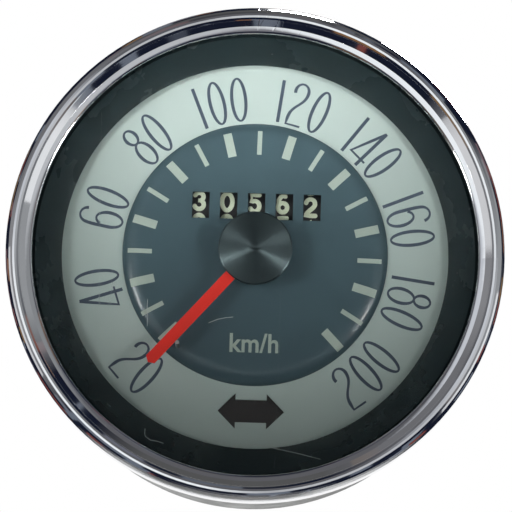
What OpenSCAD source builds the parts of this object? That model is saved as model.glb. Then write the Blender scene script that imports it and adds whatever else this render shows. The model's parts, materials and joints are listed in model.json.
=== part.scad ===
// Panel speedometer with a five-drum distance counter and a turn-signal telltale.
// Every module is drawn in dial coordinates: x to the right, y up the dial, z towards the driver,
// zero at the centre of the face where the bezel seats on the panel.

/* [Case] */
// Outside diameter of the case behind the panel
case_d = 100; // [100:1:112]
// Sheet thickness of the case
case_wall = 0.8; // [0.6:0.1:1.2]
// Space between the movement's base and the back of the case
back_gap = 4.2; // [4:0.1:8]
// Outside radius of the corner round the case's back
case_corner = 5; // [3:0.5:5]

/* [Bezel and glass] */
// How far the bezel stands out beyond the case, measured on the radius
bezel_overhang = 4; // [3.6:0.1:5]
// Thickness of the bezel's skirt
bezel_wall = 0.9; // [0.6:0.1:1.2]
// Thickness of the hem rolled in behind the case flange
hem_t = 0.8; // [0.6:0.1:1.2]
// How far the bezel's lip covers the mouth of the case
lip_cover = 0.9; // [0.5:0.1:1.5]
// Section radius of the small bead at the lip
inner_bead = 0.5; // [0.4:0.05:0.8]
// Section radius of the broad bead at the rim
outer_bead = 2; // [1.6:0.05:2.2]
// Height of the broad bead's centre over the glass
rim_lift = 0.7; // [0.5:0.1:1.2]
// Thickness of the glass
glass_t = 1.8; // [1.5:0.1:3]
// Thickness of the rubber gasket
gasket_t = 1; // [0.6:0.1:1.4]

/* [Trim ring] */
// Sheet thickness of the dark ring between the glass and the dial
trim_t = 0.5; // [0.4:0.1:0.8]
// How far the ring narrows from the glass to the dial, on the radius
trim_inset = 5.5; // [4.5:0.1:6.5]
// Height of the ring's narrow end over the dial
trim_lift = 2.4; // [1.5:0.1:3]
// Distance of the ring's narrow end above the bezel's centre
trim_shift = 0.8; // [0:0.1:1.5]

/* [Dial] */
// Distance of the dial and the movement above the bezel's centre
movement_rise = 1.5; // [0:0.1:1.5]
// Depth of the dial's light ring below the panel face
dial_sink = 7; // [5:0.1:8]
// Thickness of both dial plates
dial_t = 0.8; // [0.5:0.1:1]
// Radius of the raised centre where it meets the light ring
disc_r = 29.1; // [28.6:0.1:30]
// Width of the rolled shoulder round the raised centre
shoulder_w = 3.6; // [2:0.1:3.8]
// Height of the raised centre over the light ring
disc_rise = 1.8; // [1.2:0.1:2.5]
// Width of one counter window
window_w = 3.8; // [3:0.1:3.8]
// Height of one counter window
window_h = 5.8; // [5:0.1:6]

/* [Telltale] */
// Width of the double arrow
arrow_w = 14.6; // [12:0.1:15]
// Height of the arrow's heads
arrow_h = 7.8; // [7:0.1:8]
// Height of the arrow's shaft
arrow_shaft = 5; // [3:0.1:5.5]
// Length of one arrow head
arrow_head = 3.9; // [3:0.1:5]
// Space between the raised centre and the arrow
arrow_gap = 1.6; // [1:0.1:2]
// Bore of the light tube behind the arrow
tube_bore = 15.8; // [15.6:0.1:16.2]
// Wall of the light tube
tube_wall = 0.8; // [0.6:0.1:1.2]

/* [Needle] */
// Length of the needle from its axis to its point
needle_len = 34; // [28:0.5:36]
// Width of the blade
needle_w = 2.5; // [2:0.1:3.2]
// Thickness of the blade
needle_t = 0.6; // [0.4:0.1:0.8]
// Air between the hub cap and the glass
hub_air = 0.5; // [0.4:0.1:1.5]
// Full angle of the blade's point
needle_point = 115; // [60:5:140]
// Direction of the resting needle, counted from the right of the dial
needle_rest = 228.4; // [225:0.1:230]
// Diameter of the hub cap
hub_d = 16.1; // [12:0.1:18]
// Height of the hub cap at its rim
hub_h = 1.4; // [1.1:0.1:2]
// Diameter of the needle's spindle
needle_spindle_d = 1.2; // [1:0.1:1.6]
// Distance of the stop pin from the needle's axis
pin_radius = 26.6; // [24:0.1:27]
// Diameter of the stop pin
pin_d = 0.9; // [0.7:0.1:1.2]

/* [Counter] */
// Radius of a number drum
drum_r = 8; // [7.8:0.1:8.2]
// Distance from one drum to the next
drum_pitch = 6.1; // [5.9:0.1:6.4]
// Width of the printed band on a drum
drum_band = 3.8; // [3.6:0.1:4]
// Height of the drums' axis above the dial's centre
drum_y = 10.4; // [10.2:0.1:10.8]
// Air between a drum and the dial plate over it
drum_gap = 0.4; // [0.3:0.1:0.8]
// Diameter of the shaft that carries the drums
counter_shaft_d = 2.5; // [2:0.1:3]
// Diameter of the shaft that carries the carry pinions
pinion_shaft_d = 1.5; // [1.2:0.1:1.8]
// Teeth of the gear on a drum
drum_teeth = 20; // [20:1:20]
// Teeth of a carry pinion
pinion_teeth = 8; // [8:1:8]
// Sheet thickness of the counter's frame
plate_t = 1; // [0.8:0.1:1.2]

/* [Reduction gear] */
// Teeth of the wheel on the cross shaft and of the wheel on the riser
wheel_teeth = 20; // [20:1:20]
// Teeth of the gear that turns the units drum
counter_teeth = 25; // [25:1:25]
// Pitch radius of the two small wheels
wheel_rp = 4; // [3.8:0.1:4.2]
// Pitch radius of the worm on the drive spindle
spindle_worm_rp = 2.4; // [2.3:0.1:2.6]
// Pitch radius of the worm on the cross shaft
cross_worm_rp = 1.9; // [1.8:0.1:2]
// Pitch radius of the worm on the riser
riser_worm_rp = 2.4; // [2.3:0.1:2.5]
// Width of the two small wheels
wheel_w = 1.4; // [1:0.1:1.6]
// Width of the counter gear
counter_gear_w = 1.8; // [1.6:0.1:2]
// Diameter of the cross shaft and of the riser
gear_shaft_d = 2; // [1.6:0.1:2.2]
// Diameter of the pivots at the ends of those shafts
pivot_d = 1.6; // [1.2:0.1:1.6]
// Play between meshing teeth, measured along the pitch line
tooth_play = 0.14; // [0.12:0.01:0.2]

/* [Magnetic drive] */
// Diameter of the magnet
magnet_d = 20; // [18:0.5:21]
// Thickness of the magnet
magnet_t = 5; // [4:0.5:6]
// Air between the magnet and the drag cup, and between the cup and the steel cup round it
air_gap = 0.8; // [0.6:0.1:1]
// Wall of the drag cup
drag_wall = 0.4; // [0.3:0.1:0.6]
// Wall of the steel cup
field_wall = 1.3; // [1:0.1:1.6]
// Diameter of the drive spindle where it runs in its bush
journal_d = 5; // [4.6:0.1:5.4]
// Diameter of the drive spindle above the bush
spindle_d = 3.2; // [2.8:0.1:3.4]
// Width across the square socket for the driving cable
socket_w = 2.75; // [2.6:0.05:3]
// Depth of that socket
socket_depth = 8; // [6:0.5:9]
// Running clearance of every shaft in its hole, on the radius
run_gap = 0.05; // [0.03:0.01:0.08]

/* [Movement frame] */
// Thickness of the base plate
base_t = 3; // [2.5:0.1:3.5]
// Radius of a dial pillar below its shoulder
pillar_r = 3; // [2.6:0.1:3.2]
// Radius of a dial pillar above its shoulder
pillar_top_r = 2.2; // [1.8:0.1:2.4]
// Thickness of the bridge that carries the needle's spindle
bridge_t = 1.5; // [1.2:0.1:2]

/* [Back] */
// Outside diameter of the threaded neck for the cable
neck_d = 18; // [17:0.5:20]
// Length of the neck behind the case
neck_len = 14; // [12:0.5:18]
// Bore of the neck where the cable's ferrule sits
ferrule_d = 10.4; // [10:0.1:11]
// Depth of that bore
ferrule_len = 11; // [9:0.5:11]
// Diameter of the mounting studs
stud_d = 5; // [4:0.5:6]
// Length of the studs behind the case
stud_len = 14; // [10:0.5:20]
// Distance of each stud from the edge of the movement's base
stud_inset = 6; // [5.5:0.1:7]
// Diameter of a lamp holder's body
lamp_d = 13.6; // [13:0.1:14]
// Diameter of a bulb's metal cap
bulb_d = 9.2; // [9:0.1:9.4]

/* [Hidden] */
$fn = 96;

// Rings at the mouth of the case
case_r = case_d/2;
case_in_r = case_r - case_wall;
bezel_r = case_r + bezel_overhang;
skirt_in_r = bezel_r - bezel_wall;
lip_r = case_in_r - lip_cover;
edge_gap = 0.15;
flange_r = skirt_in_r - edge_gap;
flange_z = hem_t + case_wall;
trim_z = flange_z + gasket_t;
glass_z = trim_z + trim_t;
glass_front = glass_z + glass_t;
glass_play = 0.3;
glass_r = flange_r - glass_play;
flange_bend = hem_t;
hem_in_r = case_r + flange_bend + run_gap;

// Dial plates
dial_z = -dial_sink;
ring_under_z = dial_z - dial_t;
disc_top_z = dial_z + disc_rise;
disc_under_z = disc_top_z - dial_t;
disc_flat_r = disc_r - shoulder_w;
trim_top_r = lip_r - 0.4;
trim_foot_r = trim_top_r - trim_inset;
trim_foot_z = dial_z + trim_lift;
dial_rim = 3.2;
dial_ring_r = trim_foot_r + dial_rim;
pillar_ring_r = disc_r - 2.6;
dial_ring_in_r = pillar_ring_r + 1;
arrow_y = -disc_r - arrow_gap - arrow_h/2;
tube_r = tube_bore/2 + tube_wall;
filter_t = 0.8;

// Needle
hub_crown = 0.3;
needle_z = glass_z - hub_air - hub_crown - hub_h - needle_t;
needle_spindle_r = needle_spindle_d/2;
hub_z = needle_z + needle_t;
hub_r = hub_d/2;
tip_drop = 0.6;
spindle_tip_z = hub_z + hub_h - tip_drop;
pin_touch = 0.02;
pin_over = 0.3;
pin_offset = asin((needle_w/2 + pin_d/2 + pin_touch)/pin_radius);
pin_angle = needle_rest + pin_offset;

// Counter
plate_gap = 0.1;
drum_z = disc_under_z - drum_gap - drum_r;
drum_count = 5;
drum_side = 1;
drum_space = (drum_pitch - drum_band)/2;
units_x = drum_pitch*(drum_count - 1)/2;
shaft_gap = 0.45;
pinion_a = drum_r + shaft_gap + pinion_shaft_d/2;
drum_gear_rp = pinion_a*drum_teeth/(drum_teeth + pinion_teeth);
pinion_rp = pinion_a - drum_gear_rp;
drum_gear_tip = drum_gear_rp + 0.45;
pinion_tip = pinion_rp + 0.52;
pinion_root = pinion_rp - 0.72;
lock_gap = 0.12;
lock_r = pinion_a - pinion_tip - lock_gap;
pinion_y = drum_y + pinion_a;
boss_r = 4.5;
boss_h = 1.25;
boss_end_x = units_x + drum_band/2 + boss_h;
spacer_r = 2.4;
spacer_h = 1.4;
gear_root_drop = 0.7;
washer_space = 0.8;
gear_x = boss_end_x + washer_space;
riser_x = gear_x + counter_gear_w/2;
gear_hub_h = 0.75;
gear_hub_x = gear_x + counter_gear_w + gear_hub_h;
right_plate_x = gear_hub_x + plate_gap;
left_plate_x = -units_x - drum_band/2 - spacer_h - plate_gap - plate_t;
shaft_over = 0.4;
shaft_end = right_plate_x - left_plate_x + plate_t + shaft_over;
counter_shaft_r = counter_shaft_d/2;
pinion_shaft_r = pinion_shaft_d/2;
web_air = 1.1;
web_back_z = drum_z - drum_r - web_air - plate_t;
dial_air = 1.2;
plate_top_z = ring_under_z - dial_air;
plate_drop = 5.4;
plate_low_y = drum_y - plate_drop;
plate_over = 2.9;
plate_high_y = pinion_y + plate_over;
web_drop = 8.2;
web_low_y = drum_y - web_drop;
arm_rise = 4.2;
arm_z = drum_z + arm_rise;

// Levels of the movement behind the counter
bridge_top_z = web_back_z;
bridge_z = bridge_top_z - bridge_t;
hair_space = 3.5;
cup_top_z = bridge_z - hair_space;
cup_under_z = cup_top_z - drag_wall;
magnet_air = 1.6;
magnet_top_z = cup_under_z - magnet_air;
magnet_z = magnet_top_z - magnet_t;
cup_skirt = 0.5;
cup_edge_z = magnet_z - cup_skirt;
floor_air = 1.3;
field_floor_z = cup_edge_z - floor_air;
field_floor_t = 1.2;
field_under_z = field_floor_z - field_floor_t;
small_add = 0.4;
small_ded = 0.5;
wheel_tip = wheel_rp + small_add;
wheel_root = wheel_rp - small_ded;
cup_air = 1.1;
cross_z = field_under_z - cup_air - wheel_tip;
wheel_air = 0.6;
base_top_z = cross_z - wheel_tip - wheel_air;
base_z = base_top_z - base_t;
back_in_z = base_z - back_gap;
back_z = back_in_z - case_wall;
magnet_r = magnet_d/2;
drag_in_r = magnet_r + air_gap;
drag_r = drag_in_r + drag_wall;
field_in_r = drag_r + air_gap;
field_r = field_in_r + field_wall;

// Shafts of the reduction gear
cross_y = spindle_worm_rp + wheel_rp;
riser_y = cross_y - wheel_rp - cross_worm_rp;
counter_rp = drum_y - riser_y - riser_worm_rp;
counter_add = 0.5;
counter_ded = 0.72;
counter_tip = counter_rp + counter_add;
counter_root = counter_rp - counter_ded;
gear_shaft_r = gear_shaft_d/2;
pivot_r = pivot_d/2;
small_lead = 2*PI*wheel_rp/wheel_teeth;
riser_lead = 2*PI*counter_rp/counter_teeth;
small_worm_len = 5.2;
riser_worm_len = 7.4;
ear_t = 2;
left_ear_x = -8;
ear_air = 2.2;
right_ear_x = riser_x + small_worm_len/2 + ear_air;
pressure = 25;
flank_steps = 3;

// Drive spindle
journal_r = journal_d/2;
spindle_r = spindle_d/2;
bush_rise = 0.4;
bush_top_z = base_top_z + bush_rise;
bush_inset = 1;
bush_end_z = back_z + bush_inset;
bush_wall = 1.5;
bush_r = journal_r + bush_wall;
collar_z = bush_top_z + plate_gap;
collar_t = 0.5;
spindle_over = 2;
spindle_end_z = back_z - spindle_over;
spindle_rise = 0.9;
spindle_top_z = magnet_top_z + spindle_rise;
pivot_depth = 2;
clip_t = 0.5;
clip_groove = 0.25;
clip_z = bush_end_z - plate_gap - clip_t;

// Frame and back
hole_play = 0.1;
base_rim = 2.5;
base_r = pillar_ring_r + base_rim;
bridge_angles = [200, 340];
pillar_angles = concat([90], bridge_angles);
screw_ring_r = 22;
screw_angles = [75, 210, 330];
screw_r = 1.5;
lamp_r = lamp_d/2;
lamp_flange_w = 1;
lamp_flange_r = lamp_r + lamp_flange_w;
lamp_ring_r = base_r + lamp_flange_r;
lamp_tall = 7.5;
bulb_r = bulb_d/2;
neck_r = neck_d/2;
ferrule_r = ferrule_d/2;
neck_end_z = back_z - neck_len;
stud_r = stud_d/2;
stud_root_r = stud_r + 0.5;
tab_y = 31;
tab_rivet_r = 1.5;
tab_w = 6.3;
tab_t = 0.8;
tab_hole_r = 0.9;
tab_hole_rise = 2.5;
contact_r = 1.5;
lamp_flange_t = 1.2;
seat_h = 1.6;
bulb_seat_z = back_z + seat_h;

// Hairspring
hair_r = 6.6;
hair_stud_r = 0.6;
hair_turns = 4;
hair_t = 0.16;
hair_h = 0.8;
collet_r = 1.6;
hair_drop = 1.9;
hair_z = bridge_z - hair_drop;

// Colours
chrome = "#c9ccd0";
zinc = "#a9acb0";
bronze = "#a9773f";
brass = "#c5a14e";

function polar(r, a) = [r*cos(a), r*sin(a)];
function arc(cx, cy, r, a0, a1, n) = [for (i = [0:n]) [cx, cy] + polar(r, a0 + (a1 - a0)*i/n)];

// Half the angle that an involute tooth fills at radius r
function inv(a) = tan(a)*180/PI - a;
function tooth_half(rp, n, r) =
    90/n - tooth_play/4/rp*180/PI + inv(pressure) - inv(acos(min(1, rp*cos(pressure)/r)));
function flank(rp, n, r0, tip, side, centre) = [for (k = [0:flank_steps])
    let (step = side < 0 ? k : flank_steps - k)
    let (r = r0 + (tip - r0)*step/flank_steps)
    polar(r, centre + side*tooth_half(rp, n, r))];
function gear_points(rp, n, tip, root) =
    let (r0 = max(root, rp*cos(pressure)))
    [for (i = [0:n - 1]) each concat(
        [polar(root, 360*i/n - tooth_half(rp, n, r0))],
        flank(rp, n, r0, tip, -1, 360*i/n),
        flank(rp, n, r0, tip, 1, 360*i/n),
        [polar(root, 360*i/n + tooth_half(rp, n, r0))])];

// Section of a worm square to its axis: a straight-sided thread of the given lead, wrapped round the shaft
function worm_r(rp, tip, root, lead, s) =
    min(tip, max(root, rp + (lead/4 - tooth_play/4 - abs(s))/tan(pressure)));
function worm_stations(rp, tip, root, lead) =
    let (crest = lead/4 - tooth_play/4 - (tip - rp)*tan(pressure))
    let (foot = lead/4 - tooth_play/4 + (rp - root)*tan(pressure))
    concat([0], [for (k = [0:5]) crest + (foot - crest)*k/5],
        [for (k = [1:2]) foot + (lead - 2*foot)*k/3],
        [for (k = [5:-1:0]) lead - crest - (foot - crest)*k/5]);
function worm_points(rp, tip, root, lead) = [for (s = worm_stations(rp, tip, root, lead))
    polar(worm_r(rp, tip, root, lead, s > lead/2 ? lead - s : s), 360*s/lead)];

// Turns dial coordinates into the object's frame: the dial faces -y and the back faces +y
module in_frame() {
    rotate([90, 0, 0]) children();
}

// The same for everything that sits with the dial, a little above the bezel's centre
module in_movement() {
    in_frame() translate([0, movement_rise]) children();
}

module along_x() {
    rotate([0, 90, 0]) children();
}

// A plain cylinder from z0 to z1
module rod(r, z0, z1) {
    translate([0, 0, min(z0, z1)]) cylinder(r = r, h = abs(z1 - z0));
}

module ring(r0, r1, z0, z1) {
    rotate_extrude() translate([r0, min(z0, z1)]) square([r1 - r0, abs(z1 - z0)]);
}

module at_ring(r, angles) {
    for (a = angles) translate(polar(r, a)) children();
}

module gear_2d(rp, n, tip, root) {
    polygon(gear_points(rp, n, tip, root));
}

// A worm centred on the origin; its thread faces the angle "toward" at mid length, hand 1 is right-handed
module worm(rp, add, ded, lead, length, bore, hand, toward) {
    turn = -hand*360*length/lead;
    difference() {
        rotate([0, 0, toward + turn/2])
            translate([0, 0, -length/2])
                linear_extrude(height = length, twist = turn, slices = ceil(12*length/lead), $fn = 18)
                    polygon(worm_points(rp, rp + add, rp - ded, lead));
        rod(bore, -length, length);
    }
}

// A round bead of the bezel's section, drawn as a many-sided outline
module bead(x, y, r) {
    sides = 28;
    polygon(arc(x, y, r, 0, 360 - 360/sides, sides - 1));
}

// The line that touches two beads from above, the left one at a and the right one at b
function over_beads(a, ra, b, rb) =
    let (span = b - a)
    let (n = atan2(span[1], span[0]) + acos((ra - rb)/norm(span)))
    [a + polar(ra, n), b + polar(rb, n)];

// A broad bead at the rim, a cone that falls inwards from its crest, and a small bead at the lip
module bezel_ring() {
    hem_round = 0.6;
    rim = [bezel_r - outer_bead, glass_front + rim_lift];
    lip = [lip_r + inner_bead, glass_front + inner_bead];
    color(chrome) in_frame() difference() {
        union() {
            ring(hem_in_r, bezel_r - hem_round, 0, hem_t);
            rotate_extrude() bead(bezel_r - hem_round, hem_round, hem_round);
            ring(skirt_in_r, bezel_r, hem_round, rim[1]);
            rotate_extrude() bead(rim[0], rim[1], outer_bead);
            rotate_extrude() bead(lip[0], lip[1], inner_bead);
            rotate_extrude() polygon(concat(over_beads(lip, inner_bead, rim, outer_bead),
                [rim, [rim[0], glass_front], [lip[0], glass_front]]));
        }
        rod(skirt_in_r, hem_t, glass_front);
    }
}

module glass() {
    chamfer = 0.25;
    color("#dfe8ea", 0.35) in_frame() rotate_extrude()
        polygon([[0, glass_z], [glass_r, glass_z], [glass_r, glass_front - chamfer],
            [glass_r - chamfer, glass_front], [0, glass_front]]);
}

module glass_gasket() {
    color("#1b1c1d") in_frame() ring(case_in_r + 0.2, glass_r, flange_z, trim_z);
}

// A flange under the glass and a funnel whose narrow end sits higher than its wide end.
// The funnel is a slice of a leaning cone; steep and flat are the angles of its upper and its lower wall.
module trim_ring() {
    side_t = 1.4*trim_t;
    fall = glass_z - trim_foot_z;
    steep = atan((trim_inset - trim_shift)/fall);
    flat = atan((trim_inset + trim_shift)/fall);
    opening = (steep + flat)/2;
    tip_share = trim_top_r/trim_inset;
    reach = 2*fall*tip_share;
    color("#2c3537") in_frame() {
        ring(trim_top_r + side_t/2, glass_r, trim_z, glass_z);
        intersection() {
            rod(glass_r, trim_foot_z, glass_z);
            translate([0, trim_shift*tip_share, glass_z - fall*tip_share]) rotate([(flat - steep)/2, 0, 0])
                rotate_extrude() polygon([[0, 0], [reach*tan(opening), reach],
                    [reach*tan(opening) + side_t, reach], [side_t, 0]]);
        }
    }
}

module case_shell() {
    inner_corner = case_corner - case_wall;
    color(zinc) in_frame() difference() {
        rotate_extrude() polygon(concat(
            [[0, back_z]],
            arc(case_r - case_corner, back_z + case_corner, case_corner, -90, 0, 10),
            arc(case_r + flange_bend, 0, flange_bend, 180, 90, 4),
            [[flange_r, hem_t], [flange_r, flange_z], [case_in_r, flange_z]],
            arc(case_r - case_corner, back_z + case_corner, inner_corner, 0, -90, 10),
            [[0, back_in_z]]));
        translate([0, movement_rise]) {
            back_hole(neck_r + hole_play);
            lamp_places() back_hole(lamp_r + run_gap);
            stud_places() back_hole(stud_root_r + hole_play);
            at_ring(screw_ring_r, screw_angles) back_hole(screw_r + hole_play);
            translate([0, tab_y]) back_hole(tab_rivet_r);
        }
    }
}

module back_hole(r) {
    rod(r, back_z - 1, back_in_z + 1);
}

module lamp_places() {
    at_ring(lamp_ring_r, [30, 150]) children();
    translate([0, arrow_y]) children();
}

module stud_places() {
    for (side = [-1, 1]) translate([side*(base_r - stud_inset), 0]) children();
}

module arrow_2d() {
    tip = arrow_w/2;
    neck = tip - arrow_head;
    polygon([[-tip, 0], [-neck, arrow_h/2], [-neck, arrow_shaft/2], [neck, arrow_shaft/2], [neck, arrow_h/2],
        [tip, 0], [neck, -arrow_h/2], [neck, -arrow_shaft/2], [-neck, -arrow_shaft/2], [-neck, -arrow_h/2]]);
}

module dial_ring() {
    color("#a6b4b0") in_movement() translate([0, 0, ring_under_z]) linear_extrude(dial_t) difference() {
        circle(r = dial_ring_r, $fn = 128);
        circle(r = dial_ring_in_r, $fn = 128);
        translate([0, arrow_y]) arrow_2d();
    }
}

function shoulder_point(a, w, h) = [disc_flat_r + w*sin(a), dial_z + h*cos(a)];

// The raised centre is a pressed pan: flat top, rolled shoulder, foot on the light ring
module dial_centre() {
    steps = 9;
    hole_r = needle_spindle_r + 0.9;
    outer = [for (i = [0:steps]) shoulder_point(90*i/steps, shoulder_w, disc_rise)];
    inner = [for (i = [steps:-1:0]) shoulder_point(90*i/steps, shoulder_w - dial_t, disc_rise - dial_t)];
    color("#3c4f57") in_movement() difference() {
        rotate_extrude($fn = 128)
            polygon(concat([[0, disc_top_z]], outer, inner, [[0, disc_under_z]]));
        rod(hole_r, disc_under_z - 1, disc_top_z + 1);
        for (i = [0:drum_count - 1])
            translate([drum_x(i) - window_w/2, drum_y - window_h/2, disc_under_z - 1])
                cube([window_w, window_h, dial_t + 2]);
        translate(polar(pin_radius, pin_angle)) rod(pin_d/2, dial_z, disc_top_z + 1);
    }
}

module stop_pin() {
    color(brass) in_movement() translate(polar(pin_radius, pin_angle))
        rod(pin_d/2, disc_under_z, hub_z + pin_over);
}

module telltale_tube() {
    color("#e8e8e4") in_movement() translate([0, arrow_y])
        ring(tube_bore/2, tube_r, back_in_z, ring_under_z);
}

module telltale_filter() {
    color("#2b221c") in_movement() translate([0, arrow_y])
        rod(tube_bore/2, ring_under_z - filter_t, ring_under_z);
}

module movement_frame() {
    boss_wall = 2;
    stud_boss_wall = 1.5;
    post_ring_r = 11;
    post_r = 2;
    color(zinc) in_movement() difference() {
        union() {
            rod(base_r, base_z, base_top_z);
            at_ring(screw_ring_r, screw_angles) rod(screw_r + boss_wall, back_in_z, base_z);
            stud_places() rod(stud_root_r + stud_boss_wall, back_in_z, base_z);
            at_ring(pillar_ring_r, pillar_angles) rod(pillar_r, base_top_z, bridge_z);
            at_ring(pillar_ring_r, bridge_angles) rod(pillar_top_r, bridge_z, ring_under_z);
            translate(polar(pillar_ring_r, 90)) rod(pillar_r, bridge_z, web_back_z);
            translate(polar(pillar_ring_r, 90)) rod(pillar_top_r, web_back_z, ring_under_z);
            at_ring(post_ring_r, [200, 270, 340]) rod(post_r, base_top_z, field_under_z);
            shaft_ear(left_ear_x);
            shaft_ear(right_ear_x);
        }
        rod(bush_r, base_z - 1, base_top_z + 1);
        translate([0, arrow_y]) rod(tube_r + 0.5, base_z - 1, base_top_z + 1);
        translate([riser_x, riser_y]) rod(pivot_r + run_gap, base_z + 0.8, base_top_z + 1);
        translate([left_ear_x - 1, cross_y, cross_z]) along_x()
            cylinder(r = pivot_r + run_gap, h = right_ear_x - left_ear_x + ear_t + 2);
        at_ring(screw_ring_r, screw_angles) rod(screw_r, back_in_z - 1, base_top_z + 1);
        stud_places() rod(stud_root_r, back_in_z - 1, base_top_z + 1);
        for (a = [125, 160, 235, 305]) rotate([0, 0, a]) base_window();
    }
}

// An opening in the base plate, rounded at both ends
module base_window() {
    inner = 13.5;
    length = 6;
    half = 2.2;
    translate([inner, 0, base_z - 1]) linear_extrude(base_t + 2) {
        translate([0, -half]) square([length, 2*half]);
        circle(r = half);
        translate([length, 0]) circle(r = half);
    }
}

// An upright that carries one end of the cross shaft
module shaft_ear(x) {
    ear_r = 2.6;
    translate([x, cross_y, 0]) {
        translate([0, -ear_r, base_top_z]) cube([ear_t, 2*ear_r, cross_z - base_top_z]);
        translate([0, 0, cross_z]) along_x() cylinder(r = ear_r, h = ear_t);
    }
}

module top_bridge() {
    centre_r = 5.4;
    foot_r = 2*pillar_top_r;
    foot_x = pillar_ring_r*cos(bridge_angles[1]);
    foot_y = pillar_ring_r*sin(bridge_angles[1]);
    arm_half = 2.4;
    arm_top_y = 3;
    arm_low_y = -5;
    color(zinc) in_movement() difference() {
        union() {
            rod(centre_r, bridge_z, bridge_top_z);
            at_ring(pillar_ring_r, bridge_angles) rod(foot_r, bridge_z, bridge_top_z);
            translate([0, 0, bridge_z]) linear_extrude(bridge_t)
                polygon([[0, arm_top_y], [foot_x, foot_y + arm_half], [foot_x, foot_y - arm_half],
                    [0, arm_low_y], [-foot_x, foot_y - arm_half], [-foot_x, foot_y + arm_half]]);
        }
        rod(needle_spindle_r + run_gap, bridge_z - 1, bridge_top_z + 1);
        at_ring(pillar_ring_r, bridge_angles) rod(pillar_top_r, bridge_z - 1, bridge_top_z + 1);
        translate([hair_r, 0]) rod(hair_stud_r, bridge_z - 1, bridge_top_z + 1);
    }
}

module frame_screws() {
    head_h = 1.6;
    head_r = screw_r + 1.3;
    slot_w = 0.8;
    slot_depth = 0.7;
    color(zinc) in_movement() at_ring(screw_ring_r, screw_angles) difference() {
        union() {
            rod(screw_r, back_z, base_top_z);
            rod(head_r, back_z - head_h, back_z);
        }
        translate([-2*head_r, -slot_w/2, back_z - head_h - 1]) cube([4*head_r, slot_w, slot_depth + 1]);
    }
}

module field_cup() {
    edge_z = cup_top_z + 0.5;
    hole_r = spindle_r + 1.4;
    color("#8f9396") in_movement() {
        ring(field_in_r, field_r, field_floor_z, edge_z);
        ring(hole_r, field_r, field_under_z, field_floor_z);
    }
}

module spindle_bush() {
    flange_w = 1.2;
    flange_t = 1;
    color(bronze) in_movement() {
        ring(journal_r + run_gap, bush_r, bush_end_z, bush_top_z);
        ring(bush_r, bush_r + flange_w, base_z - flange_t, base_z);
    }
}

module cable_neck() {
    chamfer = 0.6;
    relief = 2;
    relief_r = neck_r - 0.8;
    flange_t = 2;
    foot_r = neck_r + 3;
    inner_r = bush_r + 0.3;
    color(brass) in_movement() rotate_extrude() polygon([
        [inner_r, back_in_z + flange_t], [inner_r, neck_end_z + ferrule_len],
        [ferrule_r, neck_end_z + ferrule_len], [ferrule_r, neck_end_z],
        [neck_r - chamfer, neck_end_z], [neck_r, neck_end_z + chamfer],
        [neck_r, back_z - relief], [relief_r, back_z - relief], [relief_r, back_z], [neck_r, back_z],
        [neck_r, back_in_z], [foot_r, back_in_z], [foot_r, back_in_z + flange_t]]);
}

// Each stud has a thicker root that is pressed into the base and fills the hole in the case
module mounting_studs() {
    color(zinc) in_movement() stud_places() {
        rod(stud_r, back_z - stud_len, back_z);
        rod(stud_root_r, back_z, base_top_z);
    }
}

module ground_tab() {
    foot_half = 4;
    blade_len = 9;
    head_h = 0.6;
    color(brass) in_movement() difference() {
        union() {
            translate([-tab_w/2, tab_y - foot_half, back_z - tab_t]) cube([tab_w, 2*foot_half, tab_t]);
            translate([-tab_w/2, tab_y + foot_half - tab_t, back_z - blade_len])
                cube([tab_w, tab_t, blade_len]);
            translate([0, tab_y]) rod(tab_rivet_r, back_z, back_in_z + head_h);
            translate([0, tab_y]) rod(tab_rivet_r + 0.8, back_in_z, back_in_z + head_h);
        }
        translate([0, tab_y + foot_half + 1, back_z - blade_len + tab_hole_rise]) rotate([90, 0, 0])
            cylinder(r = tab_hole_r, h = tab_t + 2);
    }
}

// A push-in holder: shell, flange outside the case and two bayonet slots
module lamp_holder() {
    rim_z = back_z + lamp_tall;
    floor_t = 1;
    slot_w = 2;
    slot_depth = 4;
    color("#6f7478") difference() {
        union() {
            rod(lamp_r, back_z, rim_z);
            rod(lamp_flange_r, back_z - lamp_flange_t, back_z);
        }
        rod(bulb_r + run_gap, back_z + floor_t, rim_z + 1);
        rod(contact_r, back_z - 2, back_z + 2);
        for (a = [0, 180]) rotate([0, 0, a])
            translate([0, -slot_w/2, rim_z - slot_depth]) cube([lamp_r + 1, slot_w, slot_depth + 1]);
    }
}

// The button that the bulb stands on, with its stem through the holder and a flat terminal behind
module lamp_contact() {
    washer_z = back_z - lamp_flange_t - 0.8;
    blade_len = 8;
    color(brass) difference() {
        union() {
            rod(3, back_z + 1, bulb_seat_z);
            rod(contact_r, back_z - lamp_flange_t, back_z + 1);
            rod(3.6, washer_z, back_z - lamp_flange_t);
            translate([-tab_w/2, -tab_t/2, washer_z - blade_len]) cube([tab_w, tab_t, blade_len]);
        }
        translate([0, 1, washer_z - blade_len + tab_hole_rise]) rotate([90, 0, 0])
            cylinder(r = tab_hole_r, h = 2);
    }
}

module bulb() {
    cap_h = 8;
    globe_h = 5.4;
    cap_z = bulb_seat_z + 1;
    globe_z = cap_z + cap_h;
    dome_z = globe_z + globe_h;
    globe_r = bulb_r - 0.4;
    color("#d8d2bd") {
        rod(contact_r, bulb_seat_z, cap_z);
        rod(bulb_r, cap_z, globe_z);
        rod(globe_r, globe_z, dome_z);
        translate([0, 0, dome_z]) intersection() {
            sphere(r = globe_r);
            rod(globe_r, 0, globe_r);
        }
    }
}

module at_lamp(angle) {
    in_movement() translate(polar(lamp_ring_r, angle)) children();
}

module at_telltale() {
    in_movement() translate([0, arrow_y]) children();
}

module lamp_holder_left() {
    at_lamp(150) lamp_holder();
}

module lamp_holder_right() {
    at_lamp(30) lamp_holder();
}

module lamp_holder_telltale() {
    at_telltale() lamp_holder();
}

module lamp_contact_left() {
    at_lamp(150) lamp_contact();
}

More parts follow.
